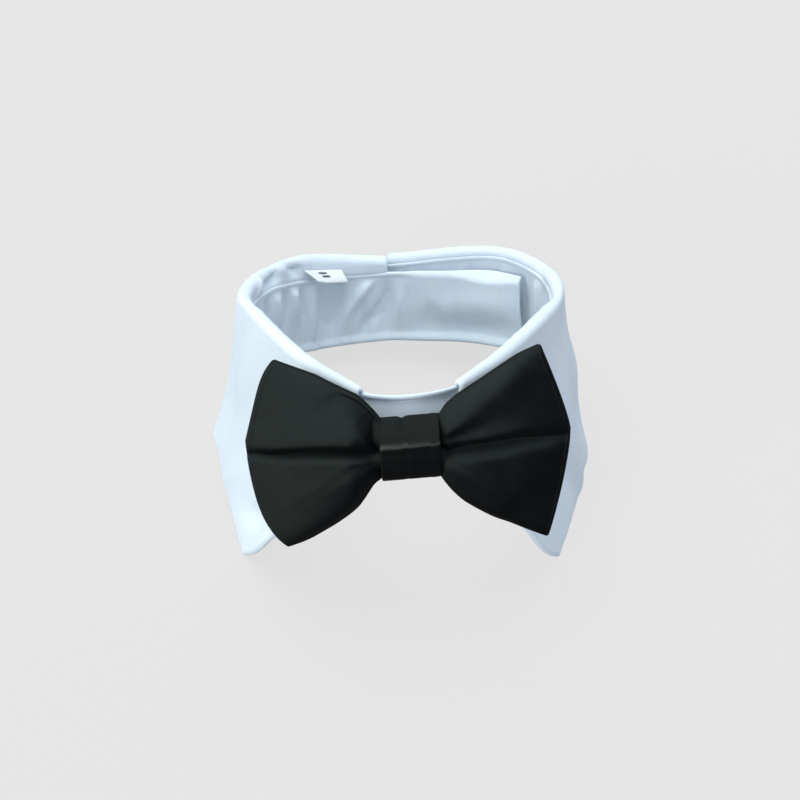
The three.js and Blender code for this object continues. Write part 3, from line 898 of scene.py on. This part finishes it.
print("a stitch is", 2 * STITCH["radius"], "mm thick")

# %% Stitching the band
ROW_ENDS = 2.0  # the row along the lower edge starts and ends this far from the band's ends
TAB_ROW = {"along": 4.8, "first": 4.0, "last": 24.5 - HEM["row"]}


def along_band(depth, first, last):
    """Points on the band's inner face, each so far under its top, and which way it faces."""
    facing = normals(band_face)
    keep = (band_s[:, 0] >= first) & (band_s[:, 0] <= last)
    line, up = [], []
    for i in np.flatnonzero(keep):
        line.append([np.interp(depth[i], band_down[i], band_face[i, :, k]) for k in range(3)])
        up.append([np.interp(depth[i], band_down[i], facing[i, :, k]) for k in range(3)])
    return np.array(line), np.array(up)


def down_band(s, first, last):
    """The same, on a line across the band at s."""
    facing = normals(band_face)
    i = int(np.argmin(abs(band_s[:, 0] - s)))
    keep = (band_down[i] >= first) & (band_down[i] <= last)
    return band_face[i, keep], facing[i, keep]


hem_line = along_band(band_stand[:, 0] - HEM["row"], ROW_ENDS, band_s[-1, 0] - ROW_ENDS)
tab_line = down_band(TAB_ROW["along"], TAB_ROW["first"], TAB_ROW["last"])
band_stitches = [
    stitch_row("stitches_band_low", *hem_line),
    stitch_row("stitches_tab_end", *tab_line),
]

# %% [markdown]
# ## The hook-and-loop pad
# A square of hook-and-loop tape holds the tab against the right half. It is woven tape with a
# dense nap, two layers pressed into each other, and hardly any of it shows: a sliver of its top
# edge when looked at from above. It gets its own thick rounded strip and a fuzzy bump.

# %% Pad
PAD = table("x y z stand", [
    [2.0, 54.8, 27.0, 15.0],
    [13.0, 53.2, 28.4, 15.0],
    [24.0, 50.7, 30.6, 15.0],
])
PAD_WALL = 2.0
PAD_STEPS = (60, 40)
PAD_TUFTS = {"lift": 0.06, "along": 1.3, "down": 1.1}
PAD_PALE, PAD_DARK = (0.78, 0.82, 0.84, 1), (0.58, 0.63, 0.67, 1)


def nap_material():
    material, shader = new_material("hook_and_loop_nap")
    nodes = Nodes(material)
    tuft, clump = nodes.noise(0.25, 3.0), nodes.noise(1.6)
    nodes.link(nodes.mix(clump, PAD_PALE, PAD_DARK), shader, "Base Color")
    shader.inputs["Roughness"].default_value = 1.0
    shader.inputs["Sheen Weight"].default_value = 0.4
    bumps(nodes, shader, [(clump, 0.3), (tuft, 0.35)])
    return material


pad_grid, pad_s, pad_down, _ = strip_grid(PAD, PAD_STEPS, PAD_WALL)
pad_lift = ripple(pad_s, PAD_TUFTS["along"]) * ripple(pad_down, PAD_TUFTS["down"])
pad_grid = pad_grid + normals(pad_grid) * PAD_TUFTS["lift"] * pad_lift[..., None]
pad, _ = cloth_piece("hook_and_loop_pad", pad_grid, PAD_WALL, nap_material())
stands_for(pad, "fastener_pad")

# %% [markdown]
# ## The size label
# A size label is a bit of narrow satin tape folded in two and caught in the collar seam, so that
# only the fold shows. It leans away from the band with one end a little lower. The strip is built
# along its own path, out, round the fold and back, so that both layers and the fold are really
# there.

# %% Label
LABEL = {"first": 14.6, "last": 30.6, "sink": 1.2, "clear": 0.1}
LABEL_ENDS = {  # at its two ends: how far it reaches out, leans along and stands over the seam
    "reach": (4.4, 5.6),
    "lean": (1.8, 1.0),
    "above": (2.6, 3.7),
}
LABEL_LAYER = 0.36
LABEL_FOLD = 0.3  # the fold's radius, measured to the middle of the tape
LABEL_STEPS = {"along": 40, "out": 30, "fold": 11}
TAPE_PITCH = 0.22
TAPE_WHITE, TAPE_SHADE = (0.86, 0.90, 0.91, 1), (0.70, 0.75, 0.79, 1)


def tape_material(name):
    material, shader = new_material(name)
    nodes = Nodes(material)
    height, on_top = weave_nodes(nodes, TAPE_PITCH)
    wear = nodes.noise(2.0)
    tint = nodes.math("MULTIPLY_ADD", on_top, 0.2, nodes.math("MULTIPLY", wear, 0.5))
    nodes.link(nodes.mix(tint, TAPE_WHITE, TAPE_SHADE), shader, "Base Color")
    shader.inputs["Roughness"].default_value = 0.45
    shader.inputs["Sheen Weight"].default_value = 0.2
    bumps(nodes, shader, [(wear, 0.1), (height, 0.03)])
    return material


def label_path():
    """Steps out along the upper layer, round the fold and back: share of reach, and height."""
    out = np.linspace(0, 1, LABEL_STEPS["out"])
    turn = np.linspace(math.pi / 2, -math.pi / 2, LABEL_STEPS["fold"] + 2)[1:-1]
    fold = LABEL_FOLD / np.mean(LABEL_ENDS["reach"])
    share = np.concatenate([out, 1 + fold * np.cos(turn), out[::-1]])
    level = np.concatenate([0 * out + 1, np.sin(turn), 0 * out - 1]) * LABEL_FOLD
    return share, level


def label_grid():
    """The label's strip, hung from the inside of the left leaf's roll."""
    track = Track(LEFT_RIBS)
    s = np.linspace(LABEL["first"], LABEL["last"], LABEL_STEPS["along"])
    out = outward(track, s, -1)
    across = out * (track.read("roll", s) + LEAF_WALL / 2 + LABEL["clear"])[:, None]
    reach, lean, above = (np.linspace(*ends, len(s)) for ends in LABEL_ENDS.values())
    rise = RING_AXIS * (above - track.read("seam", s))[:, None]
    root = (track.point(s) - across + rise)[:, None]
    share, level = (row[None, :, None] for row in label_path())
    reach = (reach[:, None] * out + lean[:, None] * track.tangent(s))[:, None]
    grid = root - reach * share
    grid[..., 2] = (root[..., 2:] - LABEL["sink"] * share**2 + level)[..., 0]
    return grid


satin_tape = tape_material("white_satin_tape")
label, label_face = cloth_piece("folded_label", label_grid(), LABEL_LAYER, satin_tape)
stands_for(label, "size_label")

# %% [markdown]
# ## The woven bars
# A woven label's mark is dark weft brought up to the face, so it is a little raised and made of
# fine threads side by side. This one says nothing: it is two short bars, of three threads each.

# %% Woven bars
BAR = {"threads": 3, "apart": 0.055, "radius": 0.15, "raised": 0.02, "blunt": 0.05, "rings": 9}
WEFT_DARK, WEFT_WORN = (0.05, 0.06, 0.07, 1), (0.16, 0.18, 0.20, 1)

WEFT_MATERIAL, weft_shader = new_material("dark_weft")
weft_nodes = Nodes(WEFT_MATERIAL)
weft_colour = weft_nodes.mix(weft_nodes.noise(0.4), WEFT_DARK, WEFT_WORN)
weft_nodes.link(weft_colour, weft_shader, "Base Color")
weft_shader.inputs["Roughness"].default_value = 0.6


def woven_bar(name, across, first, last):
    """Threads on the label's upper layer. across, first and last are shares of the label."""
    upper = label_face[:, : LABEL_STEPS["out"]]
    facing = normals(label_face)
    where = np.linspace(first, last, BAR["rings"]) * (len(upper) - 1)
    fat = np.sin(np.pi * np.linspace(BAR["blunt"], 1 - BAR["blunt"], BAR["rings"]))
    fat = BAR["radius"] * np.sqrt(fat)[:, None, None]
    threads = []
    for thread in range(BAR["threads"]):
        row = (across + BAR["apart"] * thread) * (LABEL_STEPS["out"] - 1)
        column = upper[:, int(row)] * (1 - row % 1) + upper[:, int(row) + 1] * (row % 1)
        middle = np.stack([np.interp(where, range(len(upper)), column[:, k]) for k in range(3)], -1)
        away = facing[np.round(where).astype(int), int(row)]
        aside = np.cross(unit(np.gradient(middle, axis=0)), away)
        threads.append((middle + BAR["raised"] * away)[:, None] + around(aside, away) * fat)
    return tubes(name, np.array(threads), WEFT_MATERIAL)


woven_bar("label_mark_upper", 0.30, 0.40, 0.66)
woven_bar("label_mark_lower", 0.58, 0.36, 0.62)

# %% [markdown]
# ## Black bow cloth
# Bow cloth is a fine polyester twill with a short nap. Its light and shade are painted into its
# colour: it is mixed from two blacks by how far the face is turned up and to the left, towards
# the key light, so faces turned that way are painted lighter and those turned away are painted
# darker. The twill lines run slantwise in the cloth's own coordinates. The knot's strip is
# pressed sharply in two before it is wrapped, and a painted highlight, a paler line, runs along
# that fold.

# %% Bow cloth
# painted light: the bow is painted lighter where its face turns this way, up and to the left
# towards the key light
PAINTED_LIGHT_FROM = (-0.44, -0.20, 0.875)
PAINTED_LIGHT_MIX = {"gain": 1.70, "start": -0.30, "cloud": 0.40}
TWILL = {"pitch": 0.42, "rib": 1.7, "rib_share": 0.4}
# the painted shade and the painted lit colour that the bow's black is mixed between
PAINTED_SHADE_BLACK, PAINTED_LIT_GREY = (0.0022, 0.0027, 0.0032, 1), (0.0180, 0.0223, 0.0210, 1)
# a painted highlight along the knot's pressed fold
PAINTED_HIGHLIGHT_BLACK = (0.052, 0.060, 0.054, 1)


def bow_material(name, light, highlight=None):
    """light is the painted lit colour, where a face turns to the key light. The last argument is
    where a painted highlight line lies, and its width.
    """
    material, shader = new_material(name)
    nodes = Nodes(material)
    place = nodes.add("ShaderNodeUVMap", uv_map="cloth").outputs["UV"]
    split = nodes.add("ShaderNodeSeparateXYZ", {0: place})
    cloud, fleck = nodes.noise(9.0, 3.0), nodes.noise(0.9)
    # painted light and shade, by how far the face turns to the key light
    colour = nodes.mix(painted_light_by_facing(nodes, cloud), PAINTED_SHADE_BLACK, light)
    if highlight is not None:
        # a painted highlight along the knot's pressed fold
        colour = nodes.mix(painted_highlight_line(nodes, split.outputs["Y"], *highlight), colour, PAINTED_HIGHLIGHT_BLACK)
    nodes.link(colour, shader, "Base Color")
    rough = nodes.math("MULTIPLY_ADD", fleck, 0.15, 0.50)
    nodes.link(rough, shader, "Roughness")
    shader.inputs["Specular IOR Level"].default_value = 0.05
    shader.inputs["Sheen Weight"].default_value = 0.006
    shader.inputs["Sheen Roughness"].default_value = 0.5
    weave = twill_nodes(nodes, split.outputs["X"], split.outputs["Y"])
    bumps(nodes, shader, [(cloud, 0.25), (fleck, 0.03), (weave, 0.015)])
    return material


def painted_light_by_facing(nodes, cloud):
    """How far a face is turned towards the key light, up and to the left, made a little patchy by
    the cloud: how much painted light it gets.
    """
    facing = nodes.add("ShaderNodeTexCoord").outputs["Normal"]
    turned = nodes.add("ShaderNodeVectorMath", {0: facing, 1: PAINTED_LIGHT_FROM}, operation="DOT_PRODUCT")
    lit = nodes.math("MULTIPLY_ADD", turned.outputs["Value"], PAINTED_LIGHT_MIX["gain"], PAINTED_LIGHT_MIX["start"])
    patchy = nodes.math("MULTIPLY_ADD", cloud, PAINTED_LIGHT_MIX["cloud"], -PAINTED_LIGHT_MIX["cloud"] / 2)
    limits = {"Value": nodes.math("ADD", lit, patchy), "From Min": 0.0, "From Max": 1.0}
    smooth = nodes.add("ShaderNodeMapRange", limits, interpolation_type="SMOOTHSTEP")
    return smooth.outputs[0]


def twill_nodes(nodes, along, down):
    """The height of a twill: slanting lines, and finer ones across them."""
    turns = 2 * math.pi * UV_UNIT / TWILL["pitch"]
    slant = nodes.math("ADD", along, down)
    twill = nodes.math("SINE", nodes.math("MULTIPLY", slant, turns))
    rib = nodes.math("SINE", nodes.math("MULTIPLY", along, TWILL["rib"] * turns))
    return nodes.math("ADD", twill, nodes.math("MULTIPLY", rib, TWILL["rib_share"]))


def painted_highlight_line(nodes, down, at, width):
    """Where the painted highlight lies: 1 on a line across the knot's strip, at so many mm down
    it, and 0 away from it.
    """
    away = nodes.math("ADD", down, -at / UV_UNIT)
    near = nodes.math("DIVIDE", away, width / UV_UNIT)
    return nodes.math("EXPONENT", nodes.math("MULTIPLY", nodes.math("MULTIPLY", near, near), -1.0))


BLACK = bow_material("black_twill", PAINTED_LIT_GREY)
print(BLACK.name, "has", len(BLACK.node_tree.nodes), "nodes")

# %% [markdown]
# ## The bow
# The bow is one folded strip: it starts behind the pinch, runs out along the back of one wing,
# turns round the wing's end, crosses the whole front and comes back behind the other wing. The
# tables say how tall and how full each wing is at some distances from the pinch: where its top,
# its bottom and its pleat lie, how far its front and back stand off the middle, and how much more
# its lobes and its pleat add. The pleat runs across the middle of each wing, where the strip was
# folded lengthwise before it was tied. It parts the wing into two soft lobes: the upper one rolls
# down into it, and the lower one starts at a crisp lip.

# %% Bow tables
BOW_WALL = 0.8
BOW_PLACE = np.array([3.0, -53.4, 72.2])
BOW_LEAN, BOW_TURN = math.radians(25), math.radians(2.7)
WING_SPAN, SWEEP = 45.0, 10.5  # the wings sweep back by so much at that distance
BOW_EDGE, FOLD_REACH = 0.55, 1.2  # how far a layer's long edge is off the middle, and its fold out
WING = "out top bottom front back crown pleat fold"
LEFT_WING = table(WING, [
    [0.0, 7.1, -5.7, 1.6, -1.6, 0.0, 0.6, 0.0],  # middle of the pinch
    [8.2, 7.1, -5.7, 1.8, -1.6, 0.2, 0.6, 0.0],  # just inside the knot
    [10.6, 10.4, -8.2, 2.0, -1.7, 0.6, 0.7, -0.5],  # just outside it
    [13.5, 13.4, -10.3, 2.4, -1.8, 2.2, 1.0, -0.1],
    [17.0, 16.5, -14.6, 2.6, -1.9, 3.8, 1.2, 0.4],
    [20.0, 17.9, -17.9, 2.6, -2.0, 4.0, 1.2, 0.5],
    [26.0, 20.2, -22.2, 2.5, -2.0, 3.8, 1.2, 0.0],
    [32.0, 22.6, -25.8, 2.4, -1.9, 3.2, 1.0, -1.2],
    [38.5, 24.3, -29.5, 2.1, -1.6, 2.2, 0.7, -2.7],
    [45.75, 26.0, -32.8, 1.4, -1.2, 0.8, 0.3, -4.2],  # outer end
])
RIGHT_WING = table(WING, [
    [0.0, 7.1, -5.7, 1.6, -1.6, 0.0, 0.6, 1.0],
    [8.2, 7.1, -5.7, 1.9, -1.6, 0.2, 0.6, 1.2],
    [10.2, 10.3, -9.0, 2.4, -1.7, 2.4, 0.9, 0.1],
    [12.8, 13.4, -12.6, 2.5, -1.8, 3.3, 1.1, 0.7],
    [15.6, 15.4, -15.6, 2.5, -1.9, 3.8, 1.2, 1.0],
    [18.5, 17.0, -18.0, 2.5, -2.0, 4.0, 1.2, 1.0],
    [26.3, 20.7, -23.1, 2.4, -2.0, 3.8, 1.1, 1.0],
    [32.0, 23.4, -26.0, 2.3, -1.9, 3.2, 1.0, 0.8],
    [37.7, 25.8, -29.3, 2.0, -1.6, 2.2, 0.7, -0.2],
    [44.1, 27.4, -33.0, 1.4, -1.2, 0.8, 0.3, -1.2],
])
CORNERS = {  # how far it is drawn in, the share of that at the very corner, the rest's power
    (-1, "top"): (9.9, 0.25, 1.0),
    (-1, "bottom"): (9.9, 0.45, 2.0),
    (1, "top"): (8.3, 0.0, 1.2),
    (1, "bottom"): (6.9, 0.0, 1.45),
}
LOBES = {  # how the halves roll into the pleat, how full they are and how they fall to the edges
    -1: {"roll": 2.2, "upper": 1.8, "lip": 0.8, "low": 0.95, "fade": 0.5},
    1: {"roll": 2.1, "upper": 1.6, "lip": 2.0, "low": 0.7, "fade": 1.0},
}
CREASES = table("side out z out2 z2 width lift", [  # from one place to another
    [-1, 20.0, 19.5, 10.6, 8.5, 4.2, -3.2],  # the top lobe turns down into the pinch
    [-1, 26.0, 19.0, 13.5, 5.0, 2.0, 0.9],
    [-1, 30.0, -12.0, 11.0, -4.0, 2.4, 0.25],
    [-1, 26.0, -21.0, 11.0, -6.0, 2.4, -0.25],
    [1, 31.0, 21.5, 12.0, 8.5, 3.8, 1.7],
    [1, 9.5, 9.0, 9.2, 3.0, 0.9, -1.2],
    [1, 30.0, 9.0, 13.0, 5.5, 2.5, -0.4],
    [1, 28.0, -16.0, 11.0, -4.0, 2.6, 0.4],
])
for half, wing in (("left", LEFT_WING), ("right", RIGHT_WING)):
    tall = wing["top"][-1] - wing["bottom"][-1]
    print(half, "wing:", wing["out"][-1], "mm out and", round(tall, 1), "mm tall at its end")

# %% [markdown]
# ## The shape of a wing
# A point of a wing is found in three steps: how far out it is, how high it is between the pleat
# and an edge, and how far its layer stands off the middle there. The back is nearly flat, and the
# front carries the lobes, the pleat and the creases of the table. The rows of points are counted
# from the pleat to both edges, so that they lie close together at the lip and at the rims. The
# outer end is pulled in towards both corners, and the two layers meet there in a round fold.

# %% Bow shape
BOW_STEPS = {"front": 92, "back": 40, "fold": 12, "half": 56}
CROWDING = 0.13
CREASE = {"fade": 5.0, "widest": 1.6}
CORNER_POWER = 7
EDGE_ROUND = {"within": 1.5, "power": 1.3}
FRONT_FROM = (8.5, 12.0)  # the creases grow in this far from the pinch
FRONT_EDGE = 0.08  # and die out over this share of the way from an edge to the pleat
WING_WAVE = {"lift": 0.07, "slant": 0.8, "period": 9.0}


def bow_frame(points):
    """From the bow's own plane to the frame: it leans back and its right side is high."""
    lean = np.array([
        [1, 0, 0],
        [0, math.cos(BOW_LEAN), math.sin(BOW_LEAN)],
        [0, -math.sin(BOW_LEAN), math.cos(BOW_LEAN)],
    ])
    turn = np.array([
        [math.cos(BOW_TURN), 0, -math.sin(BOW_TURN)],
        [0, 1, 0],
        [math.sin(BOW_TURN), 0, math.cos(BOW_TURN)],
    ])
    return points @ (lean @ turn).T + BOW_PLACE


def creased(side, out, z):
    """How far the creases of one wing lift its front, at places in mm."""
    lift = np.zeros(np.broadcast(out, z).shape)
    for which, out1, z1, out2, z2, width, height in zip(*CREASES.values()):
        if which != side:
            continue
        long = math.hypot(out2 - out1, z2 - z1)
        along = ((out - out1) * (out2 - out1) + (z - z1) * (z2 - z1)) / long
        aside = ((out - out1) * (z2 - z1) - (z - z1) * (out2 - out1)) / long
        past = np.maximum(np.maximum(-along, along - long), 0) / CREASE["fade"]
        grown = width * (CREASE["widest"] - np.clip(along / long, 0, 1))
        lift += height * np.exp(-((aside / grown) ** 2) - past**2)
    return lift


def from_pleat():
    """Shares of the way from the pleat to an edge, close together at both ends."""
    even = np.linspace(0, 1, BOW_STEPS["half"] + 1)
    half = even - CROWDING * np.sin(2 * np.pi * even)
    return np.concatenate([-half[:0:-1], half])[None]


def drawn_in(side, height):
    """How far the outer edge is drawn in at shares of the wing's height."""
    share, pulls = np.abs(height), []
    for edge in ("top", "bottom"):
        most, corner, power = CORNERS[side, edge]
        pulls.append(most * ((1 - corner) * share**power + corner * share**CORNER_POWER))
    return np.where(height > 0, *pulls)


steps = np.diff(from_pleat()[0])
print(len(steps), "steps from edge to edge, of", steps.min().round(4), "to", steps.max().round(4))

# %% From the tables to a wing
def wing_columns(rows, side, share, layer, more=0.0):
    """Columns of one layer of the strip, at shares of the way out to the wing's end. more is
    how many mm further out than the table that end lies."""
    wing = Track(rows, rows["out"])
    out = (np.asarray(share) * wing.length)[:, None]
    up = from_pleat()
    fold, top, bottom = (wing.read(name, out) for name in ("fold", "top", "bottom"))
    z = fold + np.where(up > 0, up * (top - fold), up * (fold - bottom))
    reach = wing.length - drawn_in(side, z / np.where(z > 0, top, -bottom)) + more
    if layer == "front":
        edge, full = BOW_EDGE, front_off(wing, side, out, up, z)
    else:
        edge, full = -BOW_EDGE, wing.read("back", out) + 0 * z
    inside = np.maximum(np.minimum(top - z, z - bottom), 0) / EDGE_ROUND["within"]
    off = edge + (full - edge) * (1 - np.exp(-(inside ** EDGE_ROUND["power"])))
    x = side * (out / wing.length) * reach
    return np.stack([x, -off + SWEEP * (x / WING_SPAN) ** 2, z], -1)


def front_off(wing, side, out, up, z):
    """How far the front layer stands off the middle: two lobes, a pleat and the creases."""
    front, crown, pleat = (wing.read(name, out) for name in ("front", "crown", "pleat"))
    lobe, away = LOBES[side], z - wing.read("fold", out)
    above = crown * (1 - np.abs(up) ** lobe["upper"])
    above -= (crown + pleat) * np.exp(-((away / lobe["roll"]) ** 2))
    lip = 1 - np.exp(-((away / lobe["lip"]) ** 2))
    fallen = np.maximum(np.cos(np.pi / 2 * up), 0) ** lobe["fade"]
    below = lobe["low"] * crown * fallen * lip - pleat * (1 - lip)
    off = front + np.where(up > 0, above, below)
    grown = step(out, *FRONT_FROM) * step(1 - np.abs(up), 0, FRONT_EDGE)
    wave = ripple(z + WING_WAVE["slant"] * out, WING_WAVE["period"], side)
    off += grown * creased(side, out, z) + WING_WAVE["lift"] * grown * wave
    return np.maximum(off, wing.read("back", out) + BOW_WALL + SEWING_GAP)


def wing_strip(rows, side):
    """One wing, from the butt behind the pinch round its end to the middle of the front. Where
    the layers lie closer together than their fold needs, they reach further out before it."""
    butt = SEWING_GAP / rows["out"][-1]
    rim = butt + BOW_WALL / 2 / rows["out"][-1] * RIM_SHARES
    behind = np.concatenate([rim[:-1], np.linspace(rim[-1], 1, BOW_STEPS["back"])])
    ends = [wing_columns(rows, side, [1.0], layer) for layer in ("back", "front")]
    apart = np.linalg.norm(ends[1] - ends[0], axis=-1)[0] / 2
    more = FOLD_REACH - np.minimum(apart, FOLD_REACH)
    back = wing_columns(rows, side, behind, "back", more)
    front = wing_columns(rows, side, np.linspace(1, 0, BOW_STEPS["front"]), "front", more)
    middle, half = (back[-1] + front[0]) / 2, (front[0] - back[-1]) / 2
    turn = np.linspace(0, math.pi, BOW_STEPS["fold"] + 2)[1:-1, None, None]
    bulge = np.minimum(apart, FOLD_REACH)[:, None] * np.array([side, 0, 0])
    fold = middle - half * np.cos(turn) + bulge * np.sin(turn)
    return np.concatenate([back, fold, front])


bow_grid = np.concatenate([wing_strip(LEFT_WING, -1), wing_strip(RIGHT_WING, 1)[-2::-1]])
bow, _ = cloth_piece("bow_strip", bow_frame(bow_grid), BOW_WALL, BLACK)
stands_for(bow, "bow_loops")

# %% [markdown]
# ## The knot
# A short strip is wrapped round the pinch and sewn at the back. It is pressed from a tube, so a
# soft ridge runs across its front, and pulling it tight gives it a few fine creases and a small
# nick in its upper edge. It sits a little turned, as hand-sewn knots do. The strip follows an
# outline with rounded corners, seen from the side.

# %% Knot
KNOT_WIDTH, KNOT_LIFT, KNOT_WALL = 16.8, 0.8, 1.0
KNOT_STEPS = {"across": 56, "round": 150}
KNOT_ROUND = table("off z", [
    [-5.2, -0.3],  # sewn end behind the pinch
    [-5.2, -3.4],
    [-4.4, -7.2],
    [-1.8, -8.9],
    [1.2, -8.7],
    [3.4, -6.9],
    [4.7, -3.6],
    [5.7, -0.6],
    [6.1, 1.6],
    [6.5, 4.0],  # the pressed fold
    [5.4, 6.2],
    [3.7, 7.7],
    [1.6, 8.6],
    [-1.8, 8.6],
    [-4.4, 6.8],
    [-5.2, 3.2],
    [-5.2, 0.3],  # the other sewn end
])
KNOT_FRONT = (1.0, 4.0)  # the front of the knot begins between these distances off the middle
KNOT_TILT = 0.05
KNOT_FOLD = {"z": 4.2, "slope": 0.04, "spread": 4.0, "lift": 0.40, "wide": 0.6, "line": 0.5}
KNOT_CREASES = {"round": (0.06, 6.0), "slant": 0.15, "across": (0.05, 5.0)}  # height and period
KNOT_NICK = {"x": -2.2, "wide": 0.9, "deep": 0.60, "z": (6.6, 8.0)}
KNOT_SEWN = 4.0  # the lifts grow in over this distance from the sewn ends
# the knot's painted lit colour, where its face turns to the key light
KNOT_PAINTED_LIT_GREY = (0.0105, 0.0128, 0.0120, 1)
print("the knot's outline has", len(KNOT_ROUND["z"]), "stations")

# %% Wrapping the knot
def knot_grid():
    """The knot's strip, how far along it each point is, how far it belongs to the front, and how
    high it lies over the pressed fold."""
    gaps = np.hypot(np.diff(KNOT_ROUND["off"]), np.diff(KNOT_ROUND["z"]))
    track = Track(KNOT_ROUND, np.concatenate([[0], np.cumsum(gaps)]))
    x = with_rims(KNOT_STEPS["across"], -KNOT_WIDTH / 2, KNOT_WIDTH / 2, KNOT_WALL / 2)[:, None]
    s = with_rims(KNOT_STEPS["round"], 0, track.length, KNOT_WALL / 2)[None]
    off, z = track.read("off", s) + 0 * x, track.read("z", s) + 0 * x
    front = step(off, *KNOT_FRONT)
    near_fold = np.exp(-(((z - KNOT_FOLD["z"]) / KNOT_FOLD["spread"]) ** 2))
    z = z + KNOT_FOLD["slope"] * x * front * near_fold + KNOT_TILT * x
    ridge = z - KNOT_FOLD["z"] - (KNOT_FOLD["slope"] + KNOT_TILT) * x
    return np.stack([x + 0 * s, -off, z + KNOT_LIFT], -1), s, front, ridge


def knot_lift(x, z, s, front, ridge):
    """The knot's fine creases, its pressed fold and the nick in its upper edge, in mm."""
    (high, period), (low, short) = KNOT_CREASES["round"], KNOT_CREASES["across"]
    lift = high * ripple(s + KNOT_CREASES["slant"] * x, period) + low * ripple(x, short)
    lift += KNOT_FOLD["lift"] * front * np.exp(-((ridge / KNOT_FOLD["wide"]) ** 2))
    nick = np.exp(-(((x - KNOT_NICK["x"]) / KNOT_NICK["wide"]) ** 2))
    lift -= KNOT_NICK["deep"] * nick * step(z, *KNOT_NICK["z"])
    return lift * np.clip(s / KNOT_SEWN, 0, 1) * np.clip((s[0, -1] - s) / KNOT_SEWN, 0, 1)


def knot_cloth():
    grid, s, front, ridge = knot_grid()
    lift = knot_lift(grid[..., 0], grid[..., 2] - KNOT_LIFT, s, front, ridge)
    middle = KNOT_STEPS["across"] // 2
    rising = front[middle] > 0.5
    fold = float(np.interp(0, ridge[middle, rising], s[0, rising]))
    print("the pressed fold lies", round(fold, 1), "mm along the knot's strip")
    # the knot's black, with painted light and a painted highlight along its pressed fold
    cloth = bow_material("black_twill_knot", KNOT_PAINTED_LIT_GREY, (fold, KNOT_FOLD["line"]))
    shape = bow_frame(grid + normals(grid) * lift[..., None])
    return cloth_piece("bow_knot_strip", shape, KNOT_WALL, cloth)


knot, _ = knot_cloth()
stands_for(knot, "bow_knot")

# %% [markdown]
# ## The cut sizes of the cloth
# The size that each sheet was cut to is printed with its piece, and how it is held; the leaves
# are cut tapering.

# %% Cut sizes
def sheet(piece, width, length, held):
    """Prints the size in mm that a sheet was cut to, and how it is held."""
    print(f"{piece.name}: cut {width} x {length} mm, {held}")


sheet(leaf_left, 92, 150, "folded")
sheet(leaf_right, 92, 156, "folded")
sheet(band, 28, 330, "stretched")
sheet(pad, 15, 22.5, "laid")
sheet(label, 12.5, 10.5, "folded")
sheet(bow, 58, 178, "gathered")
sheet(knot, 16.6, 46, "folded")

# %% [markdown]
# ## The finished size
# Cloth may stand a little proud of the packed walls, but the collar must not grow. Both boxes are
# kept side by side, the packed model's and the finished cloth's, and the finished one is printed.

# %% Sizes
boxes = {"cad": cad_box, "visual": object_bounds()}
sides = boxes["visual"][1] - boxes["visual"][0]
print("finished box, mm:", [round(side / MM, 1) for side in sides])
